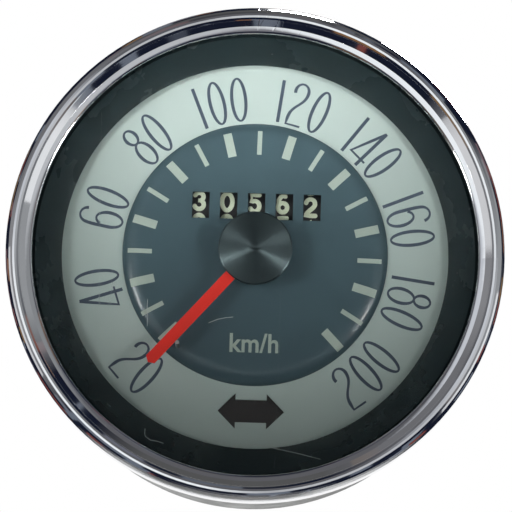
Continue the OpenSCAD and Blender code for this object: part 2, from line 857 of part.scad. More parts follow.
module lamp_contact_right() {
    at_lamp(30) lamp_contact();
}

module lamp_contact_telltale() {
    at_telltale() lamp_contact();
}

module bulb_left() {
    at_lamp(150) bulb();
}

module bulb_right() {
    at_lamp(30) bulb();
}

module bulb_telltale() {
    at_telltale() bulb();
}

// Two side plates, a web behind the drums and a bent arm that holds the riser's front pivot
module counter_frame() {
    arm_half = 2.2;
    arm_low_y = riser_y - arm_half;
    tongue_half = 4;
    right_end_x = right_plate_x + plate_t;
    color(zinc) in_movement() difference() {
        union() {
            side_plate(left_plate_x);
            side_plate(right_plate_x);
            translate([left_plate_x, web_low_y, web_back_z])
                cube([right_end_x - left_plate_x, plate_high_y - web_low_y, plate_t]);
            translate([-tongue_half, plate_high_y - 1, web_back_z])
                cube([2*tongue_half, pillar_ring_r - plate_high_y + 1, plate_t]);
            translate([0, pillar_ring_r, web_back_z]) cylinder(r = tongue_half, h = plate_t);
            translate([right_plate_x, arm_low_y, arm_z])
                cube([plate_t, plate_low_y - arm_low_y + 1, plate_top_z - arm_z]);
            translate([riser_x - arm_half, arm_low_y, arm_z])
                cube([right_plate_x - riser_x + arm_half, 2*arm_half, plate_t]);
        }
        translate([0, pillar_ring_r, web_back_z - 1]) cylinder(r = pillar_top_r, h = plate_t + 2);
        translate([riser_x, riser_y, arm_z - 1]) cylinder(r = pivot_r + run_gap, h = plate_t + 2);
        shaft_hole(drum_y, counter_shaft_r);
        shaft_hole(pinion_y, pinion_shaft_r);
        translate([0, 0, web_back_z - 1]) linear_extrude(plate_t + 2) web_window();
    }
}

module side_plate(x) {
    round_r = 3;
    translate([x, 0, 0]) {
        translate([0, plate_low_y, web_back_z])
            cube([plate_t, plate_high_y - plate_low_y, plate_top_z - web_back_z - round_r]);
        translate([0, plate_low_y, plate_top_z - round_r - 1])
            cube([plate_t, plate_high_y - plate_low_y - round_r, round_r + 1]);
        translate([0, plate_high_y - round_r, plate_top_z - round_r])
            along_x() cylinder(r = round_r, h = plate_t);
    }
}

module shaft_hole(y, r) {
    translate([left_plate_x - 1, y, drum_z]) along_x()
        cylinder(r = r, h = right_plate_x - left_plate_x + plate_t + 2);
}

module web_window() {
    half = 9;
    end_r = 3;
    translate([-half, drum_y - end_r]) square([2*half, 2*end_r]);
    for (side = [-1, 1]) translate([side*half, drum_y]) circle(r = end_r);
}

module counter_shaft() {
    color("#c3c6c9") in_movement() translate([left_plate_x, drum_y, drum_z]) along_x()
        rod(counter_shaft_r, -shaft_over, shaft_end);
}

module pinion_shaft() {
    color("#c3c6c9") in_movement() translate([left_plate_x, pinion_y, drum_z]) along_x()
        rod(pinion_shaft_r, -shaft_over, shaft_end);
}

// Distance, in millimetres, from the middle of the row to the middle of drum i, counted from the left
function drum_x(i) = drum_pitch*(i - (drum_count - 1)/2);

module on_drum_axis(x) {
    in_movement() translate([x, drum_y, drum_z]) along_x() children();
}

// A number drum: printed band, twenty-tooth gear on its right side, locking ring on its left side
module drum(i, geared, locking) {
    half = drum_band/2;
    hub_end = half + drum_side;
    pocket = drum_band - 1.2;
    rim_t = 0.8;
    color("#17181a") on_drum_axis(drum_x(i)) difference() {
        union() {
            rod(drum_r, -half, half);
            if (geared) translate([0, 0, half]) linear_extrude(drum_side) rotate(90)
                gear_2d(drum_gear_rp, drum_teeth, drum_gear_tip, drum_gear_rp - gear_root_drop);
            if (locking) translate([0, 0, -hub_end]) linear_extrude(drum_side) lock_2d();
            if (!geared) rod(boss_r, half, half + boss_h);
            if (!locking) rod(spacer_r, -half - spacer_h, -half);
        }
        rod(counter_shaft_r + run_gap, -drum_pitch, drum_pitch);
        translate([0, 0, -half - 0.01]) ring(lock_r + 0.2, drum_r - rim_t, 0, pocket);
    }
}

// The locking ring, with the two carry teeth left standing between three notches
module lock_2d() {
    notch_step = 24;
    notch_start = 126;
    notch_r = 0.9;
    difference() {
        circle(r = lock_r);
        for (k = [-1:1]) rotate(notch_start + k*notch_step) translate([lock_r, 0])
            circle(r = notch_r, $fn = 32);
    }
}

module units_drum() {
    drum(4, false, true);
}

module tens_drum() {
    drum(3, true, true);
}

module hundreds_drum() {
    drum(2, true, true);
}

module thousands_drum() {
    drum(1, true, true);
}

module ten_thousands_drum() {
    drum(0, true, false);
}

module carry_pinion(k) {
    width = 2*drum_space - 2*plate_gap;
    x = drum_x(drum_count - 1 - k) + drum_pitch/2;
    color("#d9d3c0") in_movement() translate([x, pinion_y, drum_z]) along_x() difference() {
        translate([0, 0, -width/2]) linear_extrude(width) rotate(270 + 180/pinion_teeth)
            gear_2d(pinion_rp, pinion_teeth, pinion_tip, pinion_root);
        rod(pinion_shaft_r + run_gap, -width, width);
    }
}

module carry_pinion_1() {
    carry_pinion(1);
}

module carry_pinion_2() {
    carry_pinion(2);
}

module carry_pinion_3() {
    carry_pinion(3);
}

module carry_pinion_4() {
    carry_pinion(4);
}

module counter_gear() {
    collar_r = 3;
    hole_ring_r = 4.9;
    hole_r = 1.1;
    color("#d9d3c0") on_drum_axis(gear_x) difference() {
        union() {
            linear_extrude(counter_gear_w) rotate(270 + 180/counter_teeth)
                gear_2d(counter_rp, counter_teeth, counter_tip, counter_root);
            rod(collar_r, counter_gear_w, gear_hub_x - gear_x);
        }
        rod(counter_shaft_r + run_gap, -1, gear_hub_x);
        at_ring(hole_ring_r, [0:60:300]) rod(hole_r, -1, counter_gear_w + 1);
    }
}

// A dished spring washer: it presses the counter gear and the units drum together
module friction_washer() {
    bore = counter_shaft_r + 0.15;
    rim = 4.3;
    sheet = 0.22;
    rise = washer_space - run_gap - sheet;
    color(bronze) on_drum_axis(gear_x) rotate_extrude()
        polygon([[bore, -rise - sheet], [bore, -rise], [rim, 0], [rim, -sheet]]);
}

module needle_blade() {
    point_l = needle_w/2/tan(needle_point/2);
    boss = 4.6;
    color("#d8301f") in_movement() rotate([0, 0, needle_rest]) difference() {
        union() {
            rod(boss, needle_z, hub_z);
            translate([0, 0, needle_z]) linear_extrude(needle_t)
                polygon([[0, needle_w/2], [needle_len - point_l, needle_w/2], [needle_len, 0],
                    [needle_len - point_l, -needle_w/2], [0, -needle_w/2]]);
        }
        rod(needle_spindle_r, needle_z - 1, hub_z + 1);
    }
}

// The counterweight under the hub, on the side away from the blade
module needle_weight() {
    weight_in_r = 3.4;
    weight_r = hub_r - 0.8;
    weight_t = 1;
    cut = 75;
    color(brass) in_movement() rotate([0, 0, needle_rest + 180]) difference() {
        ring(weight_in_r, weight_r, needle_z - weight_t, needle_z);
        for (side = [-1, 1]) rotate([0, 0, side*cut])
            translate([-2*hub_r, side > 0 ? 0 : -2*hub_r, needle_z - 2*weight_t])
                cube([4*hub_r, 2*hub_r, 3*weight_t]);
    }
}

module hub_cap() {
    round_r = 0.35;
    draft = 0.1;
    color("#30363a") in_movement() rotate_extrude() polygon(concat(
        [[needle_spindle_r, hub_z], [hub_r - draft, hub_z]],
        arc(hub_r - round_r, hub_z + hub_h - round_r, round_r, 0, 90, 6),
        [[0, hub_z + hub_h + hub_crown], [0, spindle_tip_z], [needle_spindle_r, spindle_tip_z]]));
}

module needle_spindle() {
    collar = 0.6;
    color("#c3c6c9") in_movement() {
        rod(needle_spindle_r, spindle_top_z - pivot_depth + 0.2, spindle_tip_z);
        rod(needle_spindle_r + collar, needle_z - collar, needle_z);
        rod(needle_spindle_r + 0.4, bridge_top_z + plate_gap, bridge_top_z + collar);
    }
}

module drag_cup() {
    boss_r = 2;
    color("#c9cccf") in_movement() {
        ring(needle_spindle_r, drag_r, cup_under_z, cup_top_z);
        ring(drag_in_r, drag_r, cup_edge_z, cup_under_z);
        ring(needle_spindle_r, boss_r, cup_top_z, cup_top_z + 1.1);
    }
}

module hairspring_collet() {
    color(brass) in_movement() ring(needle_spindle_r, collet_r, hair_z - 0.3, hair_z + hair_h + 0.3);
}

// A flat ribbon wound in a spiral from the collet out to its stud
module hairspring() {
    r0 = collet_r + hair_t/2;
    r1 = hair_r - hair_stud_r - hair_t/2;
    steps = 20*hair_turns;
    line = [for (i = [0:steps]) [r0 + (r1 - r0)*i/steps, 360*hair_turns*i/steps]];
    color("#b9bcc0") in_movement() translate([0, 0, hair_z]) linear_extrude(hair_h) polygon(concat(
        [for (p = line) polar(p[0] + hair_t/2, p[1])],
        [for (i = [steps:-1:0]) polar(line[i][0] - hair_t/2, line[i][1])]));
}

module hairspring_stud() {
    color(brass) in_movement() translate([hair_r, 0]) rod(hair_stud_r, hair_z - 0.3, bridge_top_z);
}

module drive_spindle() {
    color("#b4b7ba") in_movement() difference() {
        union() {
            rod(journal_r, spindle_end_z, collar_z);
            rod(journal_r + 0.8, collar_z, collar_z + collar_t);
            rod(spindle_r, collar_z + collar_t, spindle_top_z);
        }
        translate([-socket_w/2, -socket_w/2, spindle_end_z - 1])
            cube([socket_w, socket_w, socket_depth + 1]);
        rod(needle_spindle_r + run_gap, spindle_top_z - pivot_depth, spindle_top_z + 1);
        ring(journal_r - clip_groove, journal_r + 1, clip_z, clip_z + clip_t);
    }
}

// The open ring that keeps the drive spindle from moving forward
module spindle_clip() {
    clip_r = journal_r + 0.9;
    mouth = 3;
    color("#6f7478") in_movement() difference() {
        ring(journal_r - clip_groove, clip_r, clip_z, clip_z + clip_t);
        translate([0, -mouth/2, clip_z - 1]) cube([2*clip_r, mouth, clip_t + 2]);
    }
}

module magnet() {
    notch_r = 2.4;
    color("#4b4f53") in_movement() difference() {
        ring(spindle_r, magnet_r, magnet_z, magnet_top_z);
        at_ring(magnet_r, [45, 225]) rod(notch_r, magnet_z - 1, magnet_top_z + 1);
    }
}

module spindle_worm() {
    color(brass) in_movement() translate([0, 0, cross_z])
        worm(spindle_worm_rp, small_add, small_ded, small_lead, small_worm_len, spindle_r, -1, 90);
}

module cross_shaft() {
    left_end = left_ear_x + 0.2;
    right_end = right_ear_x + ear_t - 0.2;
    color("#b4b7ba") in_movement() translate([0, cross_y, cross_z]) along_x() {
        rod(pivot_r, left_end, right_end);
        rod(gear_shaft_r, left_ear_x + ear_t + plate_gap, right_ear_x - plate_gap);
    }
}

module cross_wheel() {
    color(brass) in_movement() translate([0, cross_y, cross_z]) along_x() wheel(270);
}

module wheel(toward) {
    difference() {
        translate([0, 0, -wheel_w/2]) linear_extrude(wheel_w) rotate(toward + 180/wheel_teeth)
            gear_2d(wheel_rp, wheel_teeth, wheel_tip, wheel_root);
        rod(gear_shaft_r, -wheel_w, wheel_w);
    }
}

module cross_worm() {
    color(brass) in_movement() translate([riser_x, cross_y, cross_z]) along_x()
        worm(cross_worm_rp, small_add, small_ded, small_lead, small_worm_len, gear_shaft_r, 1, 270);
}

module riser_shaft() {
    color("#b4b7ba") in_movement() translate([riser_x, riser_y]) {
        rod(pivot_r, base_z + 1, arm_z + plate_t);
        rod(gear_shaft_r, base_top_z + plate_gap, arm_z - plate_gap);
    }
}

module riser_wheel() {
    color(brass) in_movement() translate([riser_x, riser_y, cross_z]) wheel(90);
}

module riser_worm() {
    color(brass) in_movement() translate([riser_x, riser_y, drum_z])
        worm(riser_worm_rp, counter_add, counter_ded, riser_lead, riser_worm_len, gear_shaft_r, 1, 90);
}

case_shell();
bezel_ring();
glass();
glass_gasket();
trim_ring();
dial_ring();
dial_centre();
telltale_filter();
telltale_tube();
stop_pin();
movement_frame();
top_bridge();
frame_screws();
field_cup();
spindle_bush();
cable_neck();
mounting_studs();
ground_tab();
lamp_holder_left();
lamp_holder_right();
lamp_holder_telltale();
lamp_contact_left();
lamp_contact_right();
lamp_contact_telltale();
bulb_left();
bulb_right();
bulb_telltale();
counter_frame();
counter_shaft();
pinion_shaft();
hairspring_stud();
hairspring();
needle_blade();
needle_weight();
hub_cap();
needle_spindle();
drag_cup();
hairspring_collet();
drive_spindle();
spindle_worm();
spindle_clip();
magnet();
cross_shaft();
cross_wheel();
cross_worm();
riser_shaft();
riser_wheel();
riser_worm();
counter_gear();
friction_washer();
units_drum();
tens_drum();
hundreds_drum();
thousands_drum();
ten_thousands_drum();
carry_pinion_1();
carry_pinion_2();
carry_pinion_3();
carry_pinion_4();
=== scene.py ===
"""Panel speedometer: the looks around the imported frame.

The dial faces -Y and the back faces +Y. Sizes are millimetres on the dial's own axes: x to the right, y up
the dial and z towards the driver. Blender's metres come in only where a point or a mesh is placed.
"""

import json
import logging
import math
from dataclasses import dataclass, field
from enum import Enum
from typing import Callable, Optional, Sequence, Union

import bmesh
import bpy
from mathutils import Matrix, Vector

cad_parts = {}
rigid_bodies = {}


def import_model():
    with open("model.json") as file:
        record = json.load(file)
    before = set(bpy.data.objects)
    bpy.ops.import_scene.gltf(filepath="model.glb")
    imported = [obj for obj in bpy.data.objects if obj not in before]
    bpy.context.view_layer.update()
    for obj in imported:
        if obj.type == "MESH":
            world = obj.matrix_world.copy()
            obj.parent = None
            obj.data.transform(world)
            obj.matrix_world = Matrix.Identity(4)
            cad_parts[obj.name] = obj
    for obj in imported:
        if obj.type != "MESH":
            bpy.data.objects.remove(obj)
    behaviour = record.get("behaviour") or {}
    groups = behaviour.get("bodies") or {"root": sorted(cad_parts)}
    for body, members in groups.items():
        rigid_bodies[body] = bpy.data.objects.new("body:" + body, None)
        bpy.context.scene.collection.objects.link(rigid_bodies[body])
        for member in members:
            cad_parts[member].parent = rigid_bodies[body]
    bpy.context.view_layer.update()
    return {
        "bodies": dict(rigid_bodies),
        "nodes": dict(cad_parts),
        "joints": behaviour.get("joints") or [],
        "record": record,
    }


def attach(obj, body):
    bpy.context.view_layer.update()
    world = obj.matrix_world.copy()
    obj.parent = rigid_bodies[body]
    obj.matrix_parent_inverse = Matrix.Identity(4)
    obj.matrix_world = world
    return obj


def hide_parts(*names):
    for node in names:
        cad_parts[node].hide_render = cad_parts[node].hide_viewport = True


MM = 0.001
# Points closer than this, in millimetres, are one point
SAME_POINT = 1e-5
log = logging.getLogger("speedometer")

Point = tuple[float, float]
Place = tuple[float, float, float]
Colour = tuple[float, float, float]
Stroke = list[Point]
Value = Union[bpy.types.NodeSocket, float, Sequence[float]]
Sockets = dict[str, bpy.types.NodeSocket]

WHITE: Colour = (1.0, 1.0, 1.0)
# A ray's count of bounces of one kind is below this until its first one
HALF_BOUNCE = 0.5

# The dial's centre sits this far above the bezel's, in millimetres
RISE = 1.5
BEZEL_TO_WORLD = Matrix(((MM, 0, 0, 0), (0, 0, -MM, 0), (0, MM, 0, 0), (0, 0, 0, 1)))
DIAL_TO_WORLD = BEZEL_TO_WORLD @ Matrix.Translation((0, RISE, 0))


def srgb(red: int, green: int, blue: int) -> Colour:
    """Turns a colour of 0 to 255 into Blender's linear values."""
    shares = (part / 255 for part in (red, green, blue))
    return tuple(s / 12.92 if s <= 0.04 else ((s + 0.055) / 1.055) ** 2.4 for s in shares)


def polar(radius: float, degrees: float) -> Point:
    """Gives the point at a radius and an angle counted from the right."""
    return radius * math.cos(math.radians(degrees)), radius * math.sin(math.radians(degrees))


class Nodes:
    """A short way to add and join the nodes of one tree."""

    def __init__(self, tree: bpy.types.NodeTree) -> None:
        """Keeps the tree that the nodes go into."""
        self.tree = tree

    def add(self, kind: str, inputs: Optional[dict] = None, **settings: object) -> bpy.types.Node:
        """Adds a node.

        Args:
            kind: The node's type, without the leading "ShaderNode".
            inputs: Values or sockets for its inputs, by name or number.
            settings: Properties of the node.

        Returns:
            The new node.
        """
        node = self.tree.nodes.new("ShaderNode" + kind)
        for key, value in settings.items():
            setattr(node, key, value)
        for key, value in (inputs or {}).items():
            self.join(value, node.inputs[key])
        return node

    def join(self, value: Value, socket: bpy.types.NodeSocket) -> None:
        """Feeds a socket.

        Args:
            value: Another socket, a number or a colour.
            socket: The input that takes it.
        """
        if isinstance(value, bpy.types.NodeSocket):
            self.tree.links.new(value, socket)
        elif socket.type == "RGBA" and len(value) == 3:
            socket.default_value = (*value, 1.0)
        else:
            socket.default_value = value

    def math(self, operation: str, *values: Value) -> bpy.types.NodeSocket:
        """Adds a Math node and returns its result."""
        return self.add("Math", dict(enumerate(values)), operation=operation).outputs[0]

    def mix(self, factor: Value, low: Value, high: Value) -> bpy.types.NodeSocket:
        """Blends two colours by a mask; the node's sockets 6, 7 and 2 are the ones for colours."""
        return self.add("Mix", {0: factor, 6: low, 7: high}, data_type="RGBA").outputs[2]

    def spread(self, value: Value, low: float, high: float, to_low: float = 0.0,
               to_high: float = 1.0) -> bpy.types.NodeSocket:
        """Maps a range of a mask onto another range and returns the result."""
        return self.add("MapRange", {"Value": value, "From Min": low, "From Max": high, "To Min": to_low,
                                     "To Max": to_high}).outputs[0]

    def radius(self, place: Value) -> bpy.types.NodeSocket:
        """Gives the length of a vector."""
        return self.add("VectorMath", {0: place}, operation="LENGTH").outputs["Value"]

    def bump(self, height: Value, strength: float, distance: float,
             normal: Optional[bpy.types.NodeSocket] = None) -> bpy.types.NodeSocket:
        """Turns a height into a normal.

        Args:
            height: The height, from 0 to 1.
            strength: How much of the slope shows, from 0 to 1.
            distance: What a height of 1 stands for, in millimetres.
            normal: The normal that it is laid on, if not the surface's own.

        Returns:
            The new normal.
        """
        inputs = {"Height": height, "Strength": strength, "Distance": distance * MM}
        if normal is not None:
            inputs["Normal"] = normal
        return self.add("Bump", inputs).outputs[0]

    def own_place(self) -> bpy.types.NodeSocket:
        """Gives the object's own coordinates."""
        return self.add("TexCoord").outputs["Object"]

    def principled(self) -> bpy.types.Node:
        """Gives the material's Principled shader."""
        return self.tree.nodes["Principled BSDF"]

    def blend_surface(self, factor: Value) -> None:
        """Lets a share of the light straight through the surface.

        Args:
            factor: The share that passes, from 0 to 1.
        """
        clear = self.add("BsdfTransparent")
        blend = self.add("MixShader", {0: factor, 1: self.principled().outputs[0], 2: clear.outputs[0]})
        ends = next(n for n in self.tree.nodes if n.type == "OUTPUT_MATERIAL")
        self.join(blend.outputs[0], ends.inputs["Surface"])


def shader_group(name: str, inputs: dict[str, float], outputs: dict[str, str],
                 build: Callable[[Nodes, bpy.types.Node], Sockets]) -> bpy.types.NodeTree:
    """Makes a node group once and gives it again when it exists.

    Args:
        name: The group's name.
        inputs: Its number inputs with their defaults; a Vector input is always there.
        outputs: Its outputs with their socket types.
        build: Takes the nodes and the group's input node and returns a socket for each output.

    Returns:
        The node group.
    """
    tree = bpy.data.node_groups.get(name)
    if tree:
        return tree
    tree = bpy.data.node_groups.new(name, "ShaderNodeTree")
    tree.interface.new_socket("Vector", in_out="INPUT", socket_type="NodeSocketVector")
    for key, value in inputs.items():
        tree.interface.new_socket(key, in_out="INPUT", socket_type="NodeSocketFloat").default_value = value
    for key, kind in outputs.items():
        tree.interface.new_socket(key, in_out="OUTPUT", socket_type=kind)
    nodes = Nodes(tree)
    results = build(nodes, tree.nodes.new("NodeGroupInput"))
    ends = tree.nodes.new("NodeGroupOutput")
    for key, socket in results.items():
        tree.links.new(socket, ends.inputs[key])
    return tree


def mottle_group() -> bpy.types.NodeTree:
    """Gives soft patches and a fine grain, for paint, castings and moulded plastic.

    Returns:
        The node group.
    """
    patch_range = (0.3, 0.7)

    def build(nodes: Nodes, start: bpy.types.Node) -> Sockets:
        """Draws the two noises.

        Args:
            nodes: The group's nodes.
            start: Its input node.

        Returns:
            A socket for each.
        """
        place = start.outputs["Vector"]
        patch = nodes.add("TexNoise", {"Vector": place, "Scale": start.outputs["Patch Scale"],
                                       "Detail": 4.0, "Roughness": 0.6})
        grain = nodes.add("TexNoise", {"Vector": place, "Scale": start.outputs["Grain Scale"],
                                       "Detail": 2.0, "Roughness": 0.5})
        return {"Patches": nodes.spread(patch.outputs[0], *patch_range), "Grain": grain.outputs[0]}

    return shader_group("mottle", {"Patch Scale": 60.0, "Grain Scale": 4000.0},
                        {"Patches": "NodeSocketFloat", "Grain": "NodeSocketFloat"}, build)


def turning_group() -> bpy.types.NodeTree:
    """Gives the fine rings that a lathe leaves round the bezel's axis.

    Returns:
        The node group.
    """
    def build(nodes: Nodes, start: bpy.types.Node) -> Sockets:
        """Runs a noise along the radius.

        Args:
            nodes: The group's nodes.
            start: Its input node.

        Returns:
            The rings' socket.
        """
        parts = nodes.add("SeparateXYZ", {0: start.outputs["Vector"]})
        flat = nodes.add("CombineXYZ", {0: parts.outputs[0], 1: 0.0, 2: parts.outputs[2]})
        turns = nodes.math("MULTIPLY", nodes.radius(flat.outputs[0]), start.outputs["Rings Per Metre"])
        rings = nodes.add("TexNoise", {"W": turns, "Scale": 1.0, "Detail": 3.0, "Roughness": 0.7},
                          noise_dimensions="1D")
        return {"Rings": rings.outputs[0]}

    return shader_group("turning", {"Rings Per Metre": 6000.0}, {"Rings": "NodeSocketFloat"}, build)


def scratch_group() -> bpy.types.NodeTree:
    """Gives a few thin, nearly straight scratches in crossing directions.

    Returns:
        The node group.
    """
    directions = ((0.5, 0.0), (1.9, 3.1), (2.7, 7.7))
    stretch = (1.0, 1.0, 0.03)
    line_w = 0.006
    kept, kept_scale = (0.55, 0.65), 30.0

    def build(nodes: Nodes, start: bpy.types.Node) -> Sockets:
        """Draws the scratches of each direction and keeps some stretches of them.

        Args:
            nodes: The group's nodes.
            start: Its input node.

        Returns:
            The marks' socket.
        """
        marks = []
        for turn, shift in directions:
            place = nodes.add("Mapping", {"Vector": start.outputs["Vector"], "Location": (shift,) * 3,
                                          "Rotation": (0.0, turn, 0.0), "Scale": stretch})
            lines = nodes.add("TexNoise", {"Vector": place.outputs[0], "Scale": start.outputs["Scale"],
                                           "Detail": 1.0, "Roughness": 0.4})
            ridge = nodes.math("ABSOLUTE", nodes.math("SUBTRACT", lines.outputs[0], 0.5))
            where = nodes.add("TexNoise", {"Vector": place.outputs[0], "Scale": kept_scale, "Detail": 2.0})
            line = nodes.spread(ridge, 0.0, line_w, 1.0, 0.0)
            marks.append(nodes.math("MULTIPLY", line, nodes.spread(where.outputs[0], *kept)))
        total = nodes.math("ADD", marks[0], nodes.math("ADD", marks[1], marks[2]))
        return {"Marks": nodes.math("MINIMUM", total, 1.0)}

    return shader_group("scratches", {"Scale": 90.0}, {"Marks": "NodeSocketFloat"}, build)


@dataclass(frozen=True)
class Finish:
    """What every finish has: a name, two close colours that vary over it, and a range of roughness."""

    name: str
    colour: Colour
    variation: Colour
    roughness: tuple[float, float] = (0.4, 0.5)
    metallic: float = 0.0
    coat: float = 0.0
    coat_roughness: float = 0.12
    patch_scale: float = 60.0
    grain_scale: float = 4000.0
    grain_depth: float = 0.0

    def start(self) -> tuple[bpy.types.Material, Nodes, bpy.types.Node]:
        """Makes the material with its shader.

        Returns:
            The material, its nodes and its Principled shader.
        """
        material = bpy.data.materials.new(self.name)
        material.use_nodes = True
        material.diffuse_color = (*self.colour, 1.0)
        nodes = Nodes(material.node_tree)
        shader = nodes.principled()
        shader.inputs["Metallic"].default_value = self.metallic
        shader.inputs["Coat Weight"].default_value = self.coat
        shader.inputs["Coat Roughness"].default_value = self.coat_roughness
        return material, nodes, shader

    def material(self) -> bpy.types.Material:
        """Builds the finish, or gives it again when it exists."""
        known = bpy.data.materials.get(self.name)
        return known if known else self.build()

    def build(self) -> bpy.types.Material:
        """Varies the colour, the roughness and the grain with the mottle group.

        Returns:
            The new material.
        """
        material, nodes, shader = self.start()
        mottle = nodes.add("Group", node_tree=mottle_group())
        nodes.join(nodes.own_place(), mottle.inputs["Vector"])
        mottle.inputs["Patch Scale"].default_value = self.patch_scale
        mottle.inputs["Grain Scale"].default_value = self.grain_scale
        patches = mottle.outputs["Patches"]
        nodes.join(nodes.mix(patches, self.colour, self.variation), shader.inputs["Base Color"])
        nodes.join(nodes.spread(patches, 0.0, 1.0, *self.roughness), shader.inputs["Roughness"])
        if self.grain_depth:
            nodes.join(nodes.bump(mottle.outputs["Grain"], 1.0, self.grain_depth), shader.inputs["Normal"])
        return material


@dataclass(frozen=True)
class TurnedFinish(Finish):
    """Metal that shows the fine rings of a lathe round the bezel's axis."""

    rings_per_metre: float = 9000.0
    ring_depth: float = 0.01

    def build(self) -> bpy.types.Material:
        """Adds the turned rings to the mottled colour.

        Returns:
            The new material.
        """
        material = super().build()
        nodes = Nodes(material.node_tree)
        rings = nodes.add("Group", node_tree=turning_group())
        nodes.join(nodes.own_place(), rings.inputs["Vector"])
        rings.inputs["Rings Per Metre"].default_value = self.rings_per_metre
        bump = nodes.bump(rings.outputs["Rings"], 1.0, self.ring_depth)
        nodes.join(bump, nodes.principled().inputs["Normal"])
        return material


@dataclass(frozen=True)
class CapFinish(Finish):
    """Metal turned so finely that its rings only show as a fan of light round the axis."""

    fan: float = 0.9
    fan_turn: float = 0.25

    def build(self) -> bpy.types.Material:
        """Stretches the highlights across the rings.

        Returns:
            The new material.
        """
        material = super().build()
        nodes = Nodes(material.node_tree)
        shader = nodes.principled()
        shader.inputs["Anisotropic"].default_value = self.fan
        shader.inputs["Anisotropic Rotation"].default_value = self.fan_turn
        along = nodes.add("Tangent", direction_type="RADIAL", axis="Y")
        nodes.join(along.outputs[0], shader.inputs["Tangent"])
        return material


@dataclass(frozen=True)
class ChromeFinish(Finish):
    """Bright plate with light scratches and a breath of dirt, and a soft roll pressed into its lip."""

    lip_r: float = 48.45
    roll_w: float = 1.3
    roll_drop: float = 0.52
    roll_curve: float = 1.3
    scratch_scale: float = 160.0
    scratch_strength: float = 0.5
    scratch_depth: float = 0.01

    def build(self) -> bpy.types.Material:
        """Adds the roll and the scratches to the mottled colour and roughness.

        Returns:
            The new material.
        """
        material = super().build()
        nodes = Nodes(material.node_tree)
        place = nodes.own_place()
        flat = nodes.add("Mapping", {"Vector": place, "Scale": (1.0, 0.0, 1.0)})
        radius = nodes.radius(flat.outputs[0])
        across = nodes.spread(radius, self.lip_r * MM, (self.lip_r + self.roll_w) * MM)
        roll = nodes.bump(nodes.math("POWER", across, self.roll_curve), 1.0, -self.roll_drop)
        marks = nodes.add("Group", node_tree=scratch_group())
        nodes.join(place, marks.inputs["Vector"])
        marks.inputs["Scale"].default_value = self.scratch_scale
        bump = nodes.bump(marks.outputs["Marks"], self.scratch_strength, self.scratch_depth, roll)
        nodes.join(bump, nodes.principled().inputs["Normal"])
        return material


@dataclass(frozen=True)
class GlassFinish(Finish):
    """Flat float glass, lightly scratched; light passes it without a shadow."""

    clearness: float = 1.0
    ior: float = 1.5
    scratch_strength: float = 0.4
    scratch_depth: float = 0.01

    def build(self) -> bpy.types.Material:
        """Lets shadow rays through and roughens the glass along its scratches.

        Returns:
            The new material.
        """
        material, nodes, shader = self.start()
        shader.inputs["Base Color"].default_value = (*self.colour, 1.0)
        shader.inputs["Transmission Weight"].default_value = self.clearness
        shader.inputs["IOR"].default_value = self.ior
        group = nodes.add("Group", node_tree=scratch_group())
        nodes.join(nodes.own_place(), group.inputs["Vector"])
        marks = group.outputs["Marks"]
        nodes.join(nodes.spread(marks, 0.0, 1.0, *self.roughness), shader.inputs["Roughness"])
        nodes.join(nodes.bump(marks, self.scratch_strength, self.scratch_depth), shader.inputs["Normal"])
        nodes.blend_surface(nodes.add("LightPath").outputs["Is Shadow Ray"])
        return material


@dataclass(frozen=True)
class FloorFinish(Finish):
    """A pale floor that fades into the white background away from the object."""

    middle_y: float = 0.09
    reach: tuple[float, float] = (0.10, 0.17)

    def build(self) -> bpy.types.Material:
        """Fades the floor out between the two radii, which are in metres.

        Returns:
            The new material.
        """
        material = super().build()
        nodes = Nodes(material.node_tree)
        flat = nodes.add("Mapping", {"Vector": nodes.own_place(), "Location": (0.0, -self.middle_y, 0.0),
                                     "Scale": (1.0, 1.0, 0.0)})
        nodes.blend_surface(nodes.spread(nodes.radius(flat.outputs[0]), *self.reach))
        return material


CHROME = ChromeFinish("polished_chrome", (0.86, 0.87, 0.89), (0.80, 0.81, 0.83), (0.03, 0.07), metallic=1.0)
GLASS = GlassFinish("clear_window", (0.97, 0.99, 0.98), (0.97, 0.99, 0.98), (0.0, 0.25))
RUBBER = Finish("black_rubber", srgb(24, 25, 26), srgb(34, 35, 36), (0.7, 0.85), grain_depth=0.02)
TRIM = Finish("black_trim_lacquer", srgb(36, 48, 51), srgb(32, 43, 45), (0.24, 0.30))
DIAL_LIGHT = Finish("pale_dial_paint", srgb(196, 211, 206), srgb(189, 205, 200), (0.45, 0.55),
                    grain_depth=0.003)
DIAL_DARK = Finish("slate_dial_paint", srgb(80, 102, 110), srgb(75, 96, 104), (0.18, 0.22),
                   grain_depth=0.0015)
TELLTALE = Finish("smoked_lens", srgb(38, 31, 28), srgb(31, 25, 23), (0.3, 0.4), grain_depth=0.004)
WHITE_PLASTIC = Finish("white_moulding", srgb(226, 226, 220), srgb(216, 216, 208), (0.5, 0.6),
                       grain_depth=0.01)
ZINC = Finish("zinc_plate", srgb(176, 178, 176), srgb(158, 160, 160), (0.32, 0.5), metallic=1.0,
              patch_scale=90.0, grain_depth=0.006)
CASTING = Finish("zinc_casting", srgb(150, 152, 153), srgb(132, 134, 136), (0.45, 0.6), metallic=1.0,
                 grain_depth=0.02)
BRASS = TurnedFinish("turned_brass", srgb(206, 168, 92), srgb(184, 146, 76), (0.25, 0.38), metallic=1.0,
                     ring_depth=0.004)
BRONZE = Finish("sintered_bronze", srgb(164, 116, 66), srgb(142, 98, 54), (0.45, 0.6), metallic=1.0,
                grain_depth=0.012)
STEEL = TurnedFinish("ground_steel", srgb(190, 193, 196), srgb(172, 175, 179), (0.22, 0.34), metallic=1.0,
                     ring_depth=0.003)
ALUMINIUM = TurnedFinish("spun_aluminium", srgb(208, 210, 212), srgb(196, 198, 201), (0.28, 0.38),
                         metallic=1.0)
